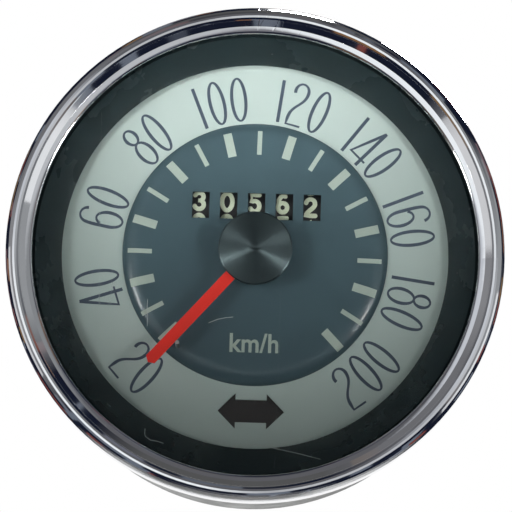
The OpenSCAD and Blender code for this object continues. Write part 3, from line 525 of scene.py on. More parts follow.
IRON = Finish("magnet_alloy", srgb(86, 89, 92), srgb(70, 73, 76), (0.5, 0.65), metallic=1.0,
              grain_depth=0.02)
BLACK_PLASTIC = Finish("black_moulding", srgb(12, 13, 15), srgb(18, 19, 21), (0.4, 0.55),
                       grain_depth=0.006)
GEAR_PLASTIC = Finish("natural_moulding", srgb(216, 209, 188), srgb(204, 196, 172), (0.4, 0.5),
                      grain_depth=0.006)
BULB_GLASS = Finish("bulb_glass", srgb(222, 216, 196), srgb(206, 202, 186), (0.08, 0.16), coat=0.5)
RED_PAINT = Finish("signal_red_paint", srgb(250, 46, 30), srgb(240, 42, 27), (0.35, 0.45), coat=0.2,
                   grain_depth=0.004)
HUB = CapFinish("dark_turned_cap", srgb(92, 104, 106), srgb(86, 98, 100), (0.30, 0.34), metallic=1.0)
FIBRE = Finish("red_fibre", srgb(112, 44, 34), srgb(92, 36, 28), (0.6, 0.75), patch_scale=300.0,
               grain_depth=0.02)
SCRATCH = Finish("bright_scratch", srgb(200, 210, 208), srgb(160, 170, 168), (0.5, 0.7), patch_scale=500.0)
FIGURE_INK = Finish("slate_ink", srgb(62, 76, 92), srgb(74, 88, 104), (0.5, 0.6))
TICK_INK = Finish("pale_ink", srgb(186, 200, 190), srgb(176, 190, 180), (0.5, 0.6))
DRUM_INK = Finish("ivory_ink", srgb(218, 228, 204), srgb(200, 208, 180), (0.45, 0.55), patch_scale=300.0)
PALE_FLOOR = FloorFinish("pale_floor", (0.8, 0.8, 0.79), (0.77, 0.77, 0.76), (0.6, 0.7), patch_scale=2.0)

LAMP_PLACES = ("left", "right", "telltale")
DRUMS = ("ten_thousands", "thousands", "hundreds", "tens", "units")

NODE_FINISHES: dict[str, Finish] = {
    "case_shell": ZINC, "bezel_ring": CHROME, "glass": GLASS, "glass_gasket": RUBBER, "trim_ring": TRIM,
    "dial_ring": DIAL_LIGHT, "dial_centre": DIAL_DARK, "telltale_filter": TELLTALE,
    "telltale_tube": WHITE_PLASTIC, "stop_pin": ZINC, "movement_frame": CASTING, "top_bridge": ZINC,
    "frame_screws": ZINC, "field_cup": ZINC, "spindle_bush": BRONZE, "cable_neck": BRASS,
    "mounting_studs": ZINC, "ground_tab": BRASS, "counter_frame": ZINC, "counter_shaft": STEEL,
    "pinion_shaft": STEEL, "hairspring_stud": BRASS, "hairspring": STEEL, "needle_blade": RED_PAINT,
    "needle_weight": BRASS, "hub_cap": HUB, "needle_spindle": STEEL, "drag_cup": ALUMINIUM,
    "hairspring_collet": BRASS, "drive_spindle": STEEL, "spindle_worm": BRASS, "spindle_clip": ZINC,
    "magnet": IRON, "cross_shaft": STEEL, "cross_wheel": BRASS, "cross_worm": BRASS, "riser_shaft": STEEL,
    "riser_wheel": BRASS, "riser_worm": BRASS, "counter_gear": GEAR_PLASTIC, "friction_washer": BRONZE,
    **{f"lamp_holder_{place}": ZINC for place in LAMP_PLACES},
    **{f"lamp_contact_{place}": BRASS for place in LAMP_PLACES},
    **{f"bulb_{place}": BULB_GLASS for place in LAMP_PLACES},
    **{f"{drum}_drum": BLACK_PLASTIC for drum in DRUMS},
    **{f"carry_pinion_{number}": GEAR_PLASTIC for number in range(1, len(DRUMS))}}


def mesh_from(work: bmesh.types.BMesh, name: str) -> bpy.types.Mesh:
    """Turns a bmesh into a mesh and frees it.

    Args:
        work: The bmesh.
        name: The mesh's name.

    Returns:
        The new mesh.
    """
    mesh = bpy.data.meshes.new(name)
    work.to_mesh(mesh)
    work.free()
    return mesh


def place_piece(name: str, work: bmesh.types.BMesh, body: str, finish: Finish,
                frame: Matrix = DIAL_TO_WORLD) -> bpy.types.Object:
    """Puts a finished piece into the scene on its body, and frees its bmesh.

    Args:
        name: The piece's name.
        work: Its shape in millimetres.
        body: The body that carries it.
        finish: Its finish.
        frame: The axes that the shape is drawn on, which are the dial's or the bezel's.

    Returns:
        The new object.
    """
    bmesh.ops.transform(work, matrix=frame, verts=work.verts)
    mesh = mesh_from(work, name)
    for face in mesh.polygons:
        face.use_smooth = False
    mesh.materials.append(finish.material())
    piece = bpy.data.objects.new(name, mesh)
    bpy.context.scene.collection.objects.link(piece)
    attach(piece, body)
    log.info("piece %s: %d faces, on %s", name, len(mesh.polygons), body)
    return piece


def lathe(section: Sequence[Point], steps: int = 64) -> bmesh.types.BMesh:
    """Turns a closed section round the z axis.

    Args:
        section: The corners as (radius, z), in order round the section.
        steps: How many facets go round.

    Returns:
        A closed bmesh with its faces turned outwards.
    """
    work = bmesh.new()
    corners = [work.verts.new((radius, 0, z)) for radius, z in section]
    edges = [work.edges.new((a, b)) for a, b in zip(corners, corners[1:] + corners[:1])]
    bmesh.ops.spin(work, geom=corners + edges, cent=(0, 0, 0), axis=(0, 0, 1), angle=math.tau, steps=steps,
                   use_merge=True, use_normal_flip=False, use_duplicate=False)
    bmesh.ops.remove_doubles(work, verts=work.verts, dist=SAME_POINT)
    bmesh.ops.recalc_face_normals(work, faces=work.faces)
    return work


def thread(core: float, crest: float, pitch: float, low: float, high: float,
           steps: int = 32) -> bmesh.types.BMesh:
    """Winds a thread round the z axis, with its foot sunk a little into the core and both ends run out.

    Args:
        core: Radius of the core.
        crest: Radius of the crest.
        pitch: Distance from one turn to the next.
        low: Where the thread starts along z.
        high: Where it ends.
        steps: How many facets each turn has.

    Returns:
        A closed bmesh.
    """
    sunk, foot_half, crest_half = 0.1, 0.47, 0.07
    foot = core - sunk
    turns = (high - low - pitch) / pitch
    start = low + pitch / 2
    work = bmesh.new()
    corners = [work.verts.new((radius, 0, start + pitch * share))
               for radius, share in ((foot, -foot_half), (crest, -crest_half),
                                     (crest, crest_half), (foot, foot_half))]
    face = work.faces.new(corners)
    bmesh.ops.spin(work, geom=corners + face.edges[:] + [face], cent=(0, 0, 0), axis=(0, 0, 1),
                   dvec=(0, 0, pitch / steps), angle=math.tau * turns, steps=round(steps * turns),
                   use_merge=False, use_normal_flip=False, use_duplicate=False)
    for vert in work.verts:
        radius = vert.co.xy.length
        run_out = min(1.0, max(0.0, min(vert.co.z - low, high - vert.co.z) / pitch))
        kept = foot + (radius - foot) * run_out
        vert.co.x *= kept / radius
        vert.co.y *= kept / radius
    bmesh.ops.recalc_face_normals(work, faces=work.faces)
    return work


class Figures(Enum):
    """The two styles of figure on the instrument."""

    DIAL = "tall and narrow, thinner where the stroke runs across"
    DRUM = "round and even, with round ends"


def oval(x: float, y: float, rx: float, ry: float, start: float, end: float, steps: int = 16) -> Stroke:
    """Gives the points of an arc of an oval.

    Args:
        x: The oval's middle along x.
        y: The oval's middle along y.
        rx: Half its width.
        ry: Half its height.
        start: The angle of the first point, in degrees from the right.
        end: The angle of the last point.
        steps: How many steps the arc has.

    Returns:
        The points.
    """
    return [(x + rx * math.cos(math.radians(start + (end - start) * i / steps)),
             y + ry * math.sin(math.radians(start + (end - start) * i / steps))) for i in range(steps + 1)]


def curve_points(a: Point, b: Point, c: Point, d: Point, steps: int = 12) -> Stroke:
    """Gives the points of a cubic curve, without its first point.

    Args:
        a: Where the curve starts.
        b: The handle at its start.
        c: The handle at its end.
        d: Where it ends.
        steps: How many steps it has.

    Returns:
        The points after the first.
    """
    points = []
    for i in range(1, steps + 1):
        t = i / steps
        u = 1 - t
        points.append(tuple(u ** 3 * p + 3 * u * u * t * q + 3 * u * t * t * r + t ** 3 * s
                            for p, q, r, s in zip(a, b, c, d)))
    return points


def dial_strokes(figure: str) -> list[Stroke]:
    """Draws a figure of the speed scale in a box one unit high.

    Args:
        figure: The figure, one of 0, 1, 2, 4, 6 and 8.

    Returns:
        Its strokes; a stroke whose ends meet is closed.
    """
    if figure == "0":
        return [oval(0, 0.5, 0.15, 0.47, 90, 450, 36)]
    if figure == "1":
        return [[(0.0, 0.97), (0.0, 0.5), (0.0, 0.03)]]
    if figure == "2":
        hook = oval(0.0, 0.80, 0.145, 0.17, 200, 0, 16)
        return [hook + curve_points(hook[-1], (0.14, 0.50), (-0.15, 0.48), (-0.16, 0.17))
                + [(-0.165, 0.03), (0.0, 0.03), (0.15, 0.03)]]
    if figure == "4":
        return [[(0.09, 0.97), (-0.05, 0.60), (-0.21, 0.17), (0.0, 0.17), (0.2, 0.17)],
                [(0.09, 0.97), (0.09, 0.5), (0.09, 0.0)]]
    if figure == "6":
        hook = oval(0.01, 0.80, 0.155, 0.17, 5, 170, 14)
        bowl = oval(0.0, 0.32, 0.155, 0.29, 180, 500, 28)
        return [hook + curve_points(hook[-1], (-0.17, 0.68), (-0.155, 0.50), bowl[0], 8) + bowl[1:]]
    return [oval(0, 0.79, 0.125, 0.18, -90, 270, 28), oval(0, 0.315, 0.155, 0.29, 90, 450, 32)]


def drum_strokes(figure: str) -> list[Stroke]:
    """Draws a figure of the counter in a box one unit high.

    Args:
        figure: Any figure from 0 to 9.

    Returns:
        Its strokes; a stroke whose ends meet is closed.
    """
    if figure == "0":
        return [oval(0, 0.5, 0.245, 0.41, 90, 450, 32)]
    if figure == "1":
        return [[(-0.14, 0.76), (0.02, 0.90), (0.02, 0.5), (0.02, 0.10)]]
    if figure == "2":
        hook = oval(0.0, 0.67, 0.21, 0.23, 170, -20, 14)
        return [hook + curve_points(hook[-1], (0.12, 0.42), (-0.16, 0.30), (-0.22, 0.10), 8)
                + [(0.0, 0.10), (0.23, 0.10)]]
    if figure == "3":
        return [oval(-0.01, 0.70, 0.20, 0.20, 160, -85, 14) + oval(-0.01, 0.31, 0.22, 0.21, 85, -160, 14)]
    if figure == "4":
        return [[(0.06, 0.90), (-0.1, 0.6), (-0.24, 0.32), (0.0, 0.32), (0.24, 0.32)],
                [(0.1, 0.52), (0.1, 0.10)]]
    if figure == "5":
        return [[(0.20, 0.90), (0.0, 0.90), (-0.17, 0.90), (-0.19, 0.58)]
                + oval(-0.01, 0.35, 0.22, 0.25, 130, -150, 18)[1:]]
    if figure == "6":
        return [oval(0.03, 0.48, 0.24, 0.42, 70, 150, 8) + oval(0.0, 0.32, 0.21, 0.22, 160, 500, 26)]
    if figure == "7":
        return [[(-0.21, 0.90), (0.0, 0.90), (0.21, 0.90), (0.06, 0.5), (-0.06, 0.10)]]
    if figure == "8":
        return [oval(0, 0.70, 0.17, 0.19, -90, 270, 24), oval(0, 0.31, 0.21, 0.21, 90, 450, 26)]
    return [[(-x, 1 - y) for x, y in drum_strokes("6")[0]]]


def strip_mesh(paths: Sequence[Sequence[Vector]], width: float, thin: float = 1.0,
               ends_round: bool = False, flatness: float = 0.06) -> bmesh.types.BMesh:
    """Lays flat strips of ink along paths on z = 0.

    Args:
        paths: The middle lines; one whose ends meet is closed.
        width: The strips' width where they run up or down.
        thin: Their width where they run across, as a share.
        ends_round: Whether open ends are half circles.
        flatness: The strips' height as a share of their width.

    Returns:
        A bmesh of closed strips.
    """
    curve = bpy.data.curves.new("strip", "CURVE")
    curve.dimensions = "3D"
    curve.bevel_depth = width / 2
    curve.bevel_resolution = 1
    curve.use_fill_caps = True
    for path in paths:
        points = [Vector(p) for p in path]
        closed = (points[0] - points[-1]).length < SAME_POINT
        if closed:
            points.pop()
        radii = []
        for i, point in enumerate(points):
            after = points[(i + 1) % len(points)] if closed or i + 1 < len(points) else point
            before = points[i - 1] if closed or i else point
            radii.append(1 - (1 - thin) * abs((after - before).normalized().x))
        if ends_round and not closed:
            points, radii = rounded_ends(points, radii, width / 2)
        spline = curve.splines.new("POLY")
        spline.points.add(len(points) - 1)
        spline.use_cyclic_u = closed
        for target, point, radius in zip(spline.points, points, radii):
            target.co = (*point, 1)
            target.radius = radius
    work = curve_bmesh(curve)
    bmesh.ops.scale(work, vec=(1, 1, flatness), verts=work.verts)
    return work


def curve_bmesh(curve: bpy.types.Curve) -> bmesh.types.BMesh:
    """Turns a curve or a text into a bmesh and removes the curve.

    Args:
        curve: The curve or the text.

    Returns:
        Its surface.
    """
    holder = bpy.data.objects.new("curve", curve)
    mesh = bpy.data.meshes.new_from_object(holder)
    work = bmesh.new()
    work.from_mesh(mesh)
    bpy.data.objects.remove(holder)
    bpy.data.curves.remove(curve)
    bpy.data.meshes.remove(mesh)
    return work


def figure_mesh(figure: str, style: Figures, height: float, stroke: float,
                thin: float = 1.0) -> bmesh.types.BMesh:
    """Draws a figure flat on z = 0 with its middle on the origin.

    Args:
        figure: The figure.
        style: Which of the two styles it has.
        height: Its height.
        stroke: The width of its strokes.
        thin: Width of a stroke that runs across, as a share of one that runs up.

    Returns:
        A bmesh of strips that stand a hair above z = 0.
    """
    on_drum = style is Figures.DRUM
    strokes = drum_strokes(figure) if on_drum else dial_strokes(figure)
    paths = [[Vector((x * height, (y - 0.5) * height, 0)) for x, y in path] for path in strokes]
    return strip_mesh(paths, stroke, thin, ends_round=on_drum)


def rounded_ends(points: list[Vector], radii: list[float],
                 radius: float) -> tuple[list[Vector], list[float]]:
    """Carries a stroke on past both ends in a half circle.

    Args:
        points: The stroke's points.
        radii: Its width at each point, as a share.
        radius: Half its full width.

    Returns:
        The longer lists of points and of widths.
    """
    steps, last_turn = 4, 86
    head = (points[0] - points[1]).normalized()
    tail = (points[-1] - points[-2]).normalized()
    turns = [math.radians(90 * i / steps) for i in range(1, steps)] + [math.radians(last_turn)]
    before = [(points[0] + head * radius * math.sin(t), math.cos(t)) for t in reversed(turns)]
    after = [(points[-1] + tail * radius * math.sin(t), math.cos(t)) for t in turns]
    return ([p for p, _ in before] + points + [p for p, _ in after],
            [r for _, r in before] + radii + [r for _, r in after])


def absorb(target: bmesh.types.BMesh, extra: bmesh.types.BMesh) -> None:
    """Adds one bmesh to another and frees it.

    Args:
        target: The bmesh that grows.
        extra: The bmesh that goes into it.
    """
    mesh = mesh_from(extra, "part")
    target.from_mesh(mesh)
    bpy.data.meshes.remove(mesh)


@dataclass
class DialPrint:
    """Everything printed on the two dial plates: figures, speed marks and the unit."""

    ring_z: float = -7.0
    disc_top_z: float = -5.2
    flat_r: float = 25.5
    shoulder_w: float = 3.6
    disc_rise: float = 1.8
    figure_r: float = 34.7
    figure_height: float = 10.1
    figure_stroke: float = 0.74
    figure_thin: float = 0.62
    ink: float = 0.02
    first_speed: int = 20
    last_speed: int = 200
    label_every: int = 20
    mark_every: int = 10
    first_angle: float = 225.0
    mark_angle: float = 15.0
    # How far the print is turned on the plates, in degrees, and where the marks' centre lies
    figure_turn: float = -0.85
    mark_turn: float = -1.0
    marks_at: Point = (-0.1, -0.6)
    # How much further out the lowest figures stand than the upper ones
    lower_drop: float = 1.4
    mark_in_r: float = 22.5
    mark_out_r: float = 27.8
    mark_steps: int = 14
    mark_thickness: float = 0.03
    major_w: float = 1.85
    minor_w: float = 1.0
    unit_at: Point = (0.3, -20.1)
    unit_size: float = 5.8
    unit_bold: float = 0.11
    unit_spacing: float = 1.02
    unit_squeeze: float = 0.93
    # Half of the angle that a figure takes up with the gaps beside it
    half_widths: dict[str, float] = field(default_factory=lambda: {"1": 2.6, "other": 4.0})
    # The speeds with their heads towards the hub, and how much further each is turned
    inward_turns: dict[int, float] = field(default_factory=lambda: {20: 1.8, 200: 0.0})

    def surface_z(self, radius: float) -> float:
        """Gives the height of the raised centre.

        Args:
            radius: The distance from the centre's axis.

        Returns:
            The height on the dial's axes.
        """
        if radius <= self.flat_r:
            return self.disc_top_z
        share = min(1.0, (radius - self.flat_r) / self.shoulder_w)
        return self.ring_z + self.disc_rise * math.sqrt(1 - share * share)

    def speed_angle(self, speed: int) -> float:
        """Gives the direction of a speed on the dial."""
        return self.first_angle - self.mark_angle * (speed - self.first_speed) / self.mark_every

    def label(self, speed: int) -> bmesh.types.BMesh:
        """Writes one speed across its radius; the first and the last have their heads towards the hub.

        Args:
            speed: The speed in km/h.

        Returns:
            A bmesh on the dial's axes.
        """
        work = bmesh.new()
        direction = self.speed_angle(speed)
        inward = speed in self.inward_turns
        text = str(speed)[::-1] if inward else str(speed)
        halves = [self.half_widths.get(f, self.half_widths["other"]) for f in text]
        angle = direction + self.figure_turn + self.inward_turns.get(speed, 0.0) + sum(halves)
        radius = self.figure_r + self.lower_drop * max(0.0, -math.sin(math.radians(direction)))
        for figure, half in zip(text, halves):
            angle -= half
            glyph = figure_mesh(figure, Figures.DIAL, self.figure_height, self.figure_stroke,
                                self.figure_thin)
            turn = Matrix.Rotation(math.radians(angle - 90), 4, "Z")
            lift = Matrix.Translation((0, radius, self.ring_z + self.ink))
            stand = Matrix.Rotation(math.pi if inward else 0.0, 4, "Z")
            bmesh.ops.transform(glyph, matrix=turn @ lift @ stand, verts=glyph.verts)
            absorb(work, glyph)
            angle -= half
        return work

    def build_figures(self) -> None:
        """Prints a speed for every twenty on the pale ring."""
        work = bmesh.new()
        for speed in range(self.first_speed, self.last_speed + 1, self.label_every):
            absorb(work, self.label(speed))
        place_piece("speed_figures", work, "instrument", FIGURE_INK)

    def build_marks(self) -> None:
        """Prints a mark for every ten on the raised centre and its shoulder."""
        work = bmesh.new()
        for speed in range(self.first_speed, self.last_speed + 1, self.mark_every):
            width = self.major_w if speed % self.label_every == 0 else self.minor_w
            mark = bmesh.new()
            bmesh.ops.create_grid(mark, x_segments=2, y_segments=self.mark_steps, size=0.5)
            turn = Matrix.Rotation(math.radians(self.speed_angle(speed) + self.mark_turn - 90), 3, "Z")
            for vert in mark.verts:
                radius = self.mark_in_r + (vert.co.y + 0.5) * (self.mark_out_r - self.mark_in_r)
                place = turn @ Vector((vert.co.x * width, radius, 0)) + Vector((*self.marks_at, 0))
                vert.co = Vector((place.x, place.y, self.surface_z(place.xy.length) + self.ink))
            absorb(work, mark)
        bmesh.ops.solidify(work, geom=work.faces[:], thickness=self.mark_thickness)
        place_piece("speed_marks", work, "instrument", TICK_INK)

    def build_unit(self) -> None:
        """Prints km/h under the needle's hub."""
        curve = bpy.data.curves.new("unit", "FONT")
        curve.body = "km/h"
        curve.align_x = "CENTER"
        curve.align_y = "CENTER"
        curve.size = self.unit_size
        curve.offset = self.unit_bold
        curve.space_character = self.unit_spacing
        curve.extrude = self.ink
        work = curve_bmesh(curve)
        bmesh.ops.scale(work, vec=(self.unit_squeeze, 1, 1), verts=work.verts)
        bmesh.ops.translate(work, vec=(*self.unit_at, self.disc_top_z + self.ink), verts=work.verts)
        place_piece("unit_print", work, "instrument", TICK_INK)

    def build(self) -> None:
        """Builds all the prints."""
        self.build_figures()
        self.build_marks()
        self.build_unit()


@dataclass
class Counter:
    """The printed figures on the five drums."""

    drum_r: float = 8.0
    drum_y: float = 10.4
    drum_z: float = -14.4
    pitch: float = 6.1
    figure_height: float = 4.65
    figure_stroke: float = 1.0
    figures: int = 10
    ink: float = 0.02
    reading: str = "30562"
    # How far each drum's figure has turned past the middle of its window, in degrees
    settle: tuple[float, ...] = (8.0, 7.5, 6.6, 6.4, 2.1)
    # How far the figures stand from the middle of their drum
    shift: float = -0.35

    def band(self, shown: int, settle: float, x: float) -> bmesh.types.BMesh:
        """Wraps the ten figures round one drum.

        Args:
            shown: The figure in the window.
            settle: How far it has turned past the middle of the window, in degrees.
            x: The middle of the drum along the row.

        Returns:
            A bmesh on the dial's axes.
        """
        work = bmesh.new()
        for step in range(self.figures):
            figure = str((shown + step) % self.figures)
            glyph = figure_mesh(figure, Figures.DRUM, self.figure_height, self.figure_stroke)
            middle = math.radians(360 / self.figures * step + settle)
            for vert in glyph.verts:
                turn = middle + vert.co.y / self.drum_r
                radius = self.drum_r + self.ink + vert.co.z
                vert.co = Vector((x + vert.co.x, self.drum_y + radius * math.sin(turn),
                                  self.drum_z + radius * math.cos(turn)))
            absorb(work, glyph)
        return work

    def build(self) -> None:
        """Prints the figures on every drum, each set on its own body."""
        for i, (figure, settle, body) in enumerate(zip(self.reading, self.settle, DRUMS)):
            x = self.pitch * (i - len(DRUMS) // 2) + self.shift
            band = self.band(int(figure), settle, x)
            place_piece(f"{body}_figures", band, body, DRUM_INK)


@dataclass
class WindowMarks:
    """The hairline scratches on the front of the glass."""

    front_z: float = 4.9
    width: float = 0.13
    flatness: float = 0.05
    lines: tuple[tuple[Point, ...], ...] = (
        ((-22.95, -10.8), (-23.0, -12.5), (-22.85, -14.7), (-22.85, -16.6)),
        ((-22.6, -38.9), (-22.65, -39.9), (-22.5, -40.5), (-21.4, -41.3), (-19.9, -41.5), (-18.6, -41.9)),
        ((0.3, -41.5), (5.2, -42.3), (10.4, -43.3), (15.2, -44.4)),
        ((-9.6, -15.5), (-7.7, -14.7), (-6.0, -14.3), (-4.4, -14.1)))

    def build(self) -> None:
        """Draws the scratches as thin strips on the glass."""
        paths = [[Vector((x, y, 0)) for x, y in line] for line in self.lines]
        work = strip_mesh(paths, self.width, ends_round=True, flatness=self.flatness)
        bmesh.ops.translate(work, vec=(0, 0, self.front_z), verts=work.verts)
        place_piece("glass_scratches", work, "instrument", SCRATCH, BEZEL_TO_WORLD)


@dataclass
class BackFittings:
    """The threads and the small washers on the back of the case."""

    back_z: float = -58.0
    base_top_z: float = -50.0
    wall: float = 0.8
    end_z: float = -72.0

    shaft_r: float = 4.3
    ferrule_r: float = 5.2
    ferrule_depth: float = 11.0
    mouth_bevel: float = 0.3
    neck_r: float = 9.0
    neck_core_r: float = 8.15
    neck_pitch: float = 1.5
    neck_edge: float = 0.2
    neck_run_out: float = 0.3
    relief_r: float = 8.2
    relief_l: float = 2.0
    flange_r: float = 12.0
    flange_t: float = 2.0

    stud_x: float = 23.0
    stud_r: float = 2.5
    stud_core_r: float = 2.08
    stud_root_r: float = 3.0
    stud_axis_r: float = 0.01
    stud_tip: float = 0.4
    stud_plain_l: float = 1.0
    stud_pitch: float = 0.8
    stud_run_out: float = 0.2
    stud_facets: int = 32
    stud_thread_facets: int = 24

    screw_ring_r: float = 22.0
    screw_angles: tuple[float, ...] = (75, 210, 330)
    toothed_r: tuple[float, float] = (2.0, 3.5)
    toothed_t: float = 0.4
    teeth: int = 18
    notch: float = 0.88

    lamp_ring_r: float = 36.8
    lamp_angles: tuple[float, ...] = (30, 150)
    telltale_y: float = -34.6
    holder_t: float = 1.2
    fibre_r: tuple[float, float] = (3.65, 5.0)
    fibre_t: float = 0.6
    fibre_edge: float = 0.1
    fibre_facets: int = 40

    def build_neck(self) -> None:
        """Turns the neck with its flange, its bore and its thread; it stands for the plain one."""
        back, end = self.back_z, self.end_z
        seat = back + self.wall
        foot = back - self.relief_l
        work = lathe([(self.shaft_r, seat + self.flange_t), (self.shaft_r, end + self.ferrule_depth),
                      (self.ferrule_r, end + self.ferrule_depth), (self.ferrule_r, end + self.mouth_bevel),
                      (self.ferrule_r + self.mouth_bevel, end), (self.neck_core_r - self.neck_edge, end),
                      (self.neck_core_r, end + self.neck_edge), (self.neck_core_r, foot - self.neck_edge),
                      (self.relief_r, foot), (self.relief_r, back), (self.neck_r, back), (self.neck_r, seat),
                      (self.flange_r, seat), (self.flange_r, seat + self.flange_t)])
        absorb(work, thread(self.neck_core_r, self.neck_r, self.neck_pitch, end + self.neck_run_out, foot))
        piece = place_piece("threaded_neck", work, "instrument", BRASS)
        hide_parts("cable_neck")

    def build_studs(self) -> None:
        """Turns the two threaded studs with their roots; they stand for the plain ones."""
        work = bmesh.new()
        core, end = self.stud_core_r, self.end_z
        foot = self.back_z - self.stud_plain_l
        for side in (-1, 1):
            stud = lathe([(self.stud_axis_r, self.base_top_z), (self.stud_axis_r, end),
                          (core - self.stud_tip, end), (core, end + self.stud_tip),
                          (core, foot - self.stud_tip), (self.stud_r, foot), (self.stud_r, self.back_z),
                          (self.stud_root_r, self.back_z), (self.stud_root_r, self.base_top_z)],
                         self.stud_facets)
            absorb(stud, thread(core, self.stud_r, self.stud_pitch, end + self.stud_run_out,
                                foot - self.stud_run_out, self.stud_thread_facets))
            bmesh.ops.translate(stud, vec=(side * self.stud_x, 0, 0), verts=stud.verts)
            absorb(work, stud)
        piece = place_piece("threaded_studs", work, "instrument", ZINC)
        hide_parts("mounting_studs")

    def build_toothed_washers(self) -> None:
        """Lays a toothed washer under each screw."""
        work = bmesh.new()
        inner, outer = self.toothed_r
        low = self.back_z - self.toothed_t
        tooth = 360 / self.teeth
        for angle in self.screw_angles:
            washer = lathe([(inner, self.back_z), (inner, low), (outer, low), (outer, self.back_z)],
                           2 * self.teeth)
            for vert in washer.verts:
                turn = math.degrees(math.atan2(vert.co.y, vert.co.x)) % tooth
                if vert.co.xy.length > (inner + outer) / 2 and tooth / 4 < turn < 3 * tooth / 4:
                    vert.co.xy *= self.notch
            bmesh.ops.translate(washer, vec=(*polar(self.screw_ring_r, angle), 0), verts=washer.verts)
            absorb(work, washer)
        place_piece("shake_washers", work, "instrument", ZINC)

    def build_fibre_washers(self) -> None:
        """Lays a fibre washer under each lamp's terminal."""
        work = bmesh.new()
        inner, outer = self.fibre_r
        top = self.back_z - self.holder_t
        low = top - self.fibre_t
        places = [polar(self.lamp_ring_r, angle) for angle in self.lamp_angles] + [(0.0, self.telltale_y)]
        for place in places:
            washer = lathe([(inner, top), (inner, low), (outer - self.fibre_edge, low),
                            (outer, low + self.fibre_edge), (outer, top)], self.fibre_facets)
            bmesh.ops.translate(washer, vec=(*place, 0), verts=washer.verts)
            absorb(work, washer)
        place_piece("fibre_washers", work, "instrument", FIBRE)

    def build(self) -> None:
        """Builds all the fittings."""
        self.build_neck()
        self.build_studs()
        self.build_toothed_washers()
        self.build_fibre_washers()


@dataclass(frozen=True)
class Lamp:
    """A soft lamp: its place and target in metres, its size in metres and its power in watts."""

    name: str
    place: Place
    size: float
    power: float
    target: Place = (0.0, 0.0, 0.0)
    cone: Optional[float] = None

    def build(self) -> None:
        """Hangs a square lamp, or where a cone in degrees is given, a spotlight that fades to its edge."""
        data = bpy.data.lights.new(self.name, "SPOT" if self.cone else "AREA")
        data.energy = self.power
        if self.cone:
            data.spot_size = math.radians(self.cone)
            data.spot_blend = 1.0
            data.shadow_soft_size = self.size / 2
        else:
            data.size = self.size
        item = bpy.data.objects.new(self.name, data)
        bpy.context.scene.collection.objects.link(item)
        item.location = self.place
        item.rotation_euler = (Vector(self.target) - Vector(self.place)).to_track_quat("-Z", "Y").to_euler()


@dataclass(frozen=True)
class Window:
    """A soft bright patch of the room: its direction, its half width in degrees, its fade and its colour."""

    towards: Place
    half_width: float
    fade: float
    colour: Colour

    def paint(self, nodes: Nodes, ray: bpy.types.NodeSocket,
              room: bpy.types.NodeSocket) -> bpy.types.NodeSocket:
        """Paints the window over the room.

        Args:
            nodes: The world's nodes.
            ray: The direction of the ray.
            room: The room's colour so far.

        Returns:
            The room's new colour.
        """
        middle = tuple(Vector(self.towards).normalized())
        near = nodes.add("VectorMath", {0: ray, 1: middle}, operation="DOT_PRODUCT").outputs["Value"]
        inner = math.cos(math.radians(self.half_width))
        outer = math.cos(math.radians(self.half_width + self.fade))
        return nodes.mix(nodes.spread(near, outer, inner), room, self.colour)


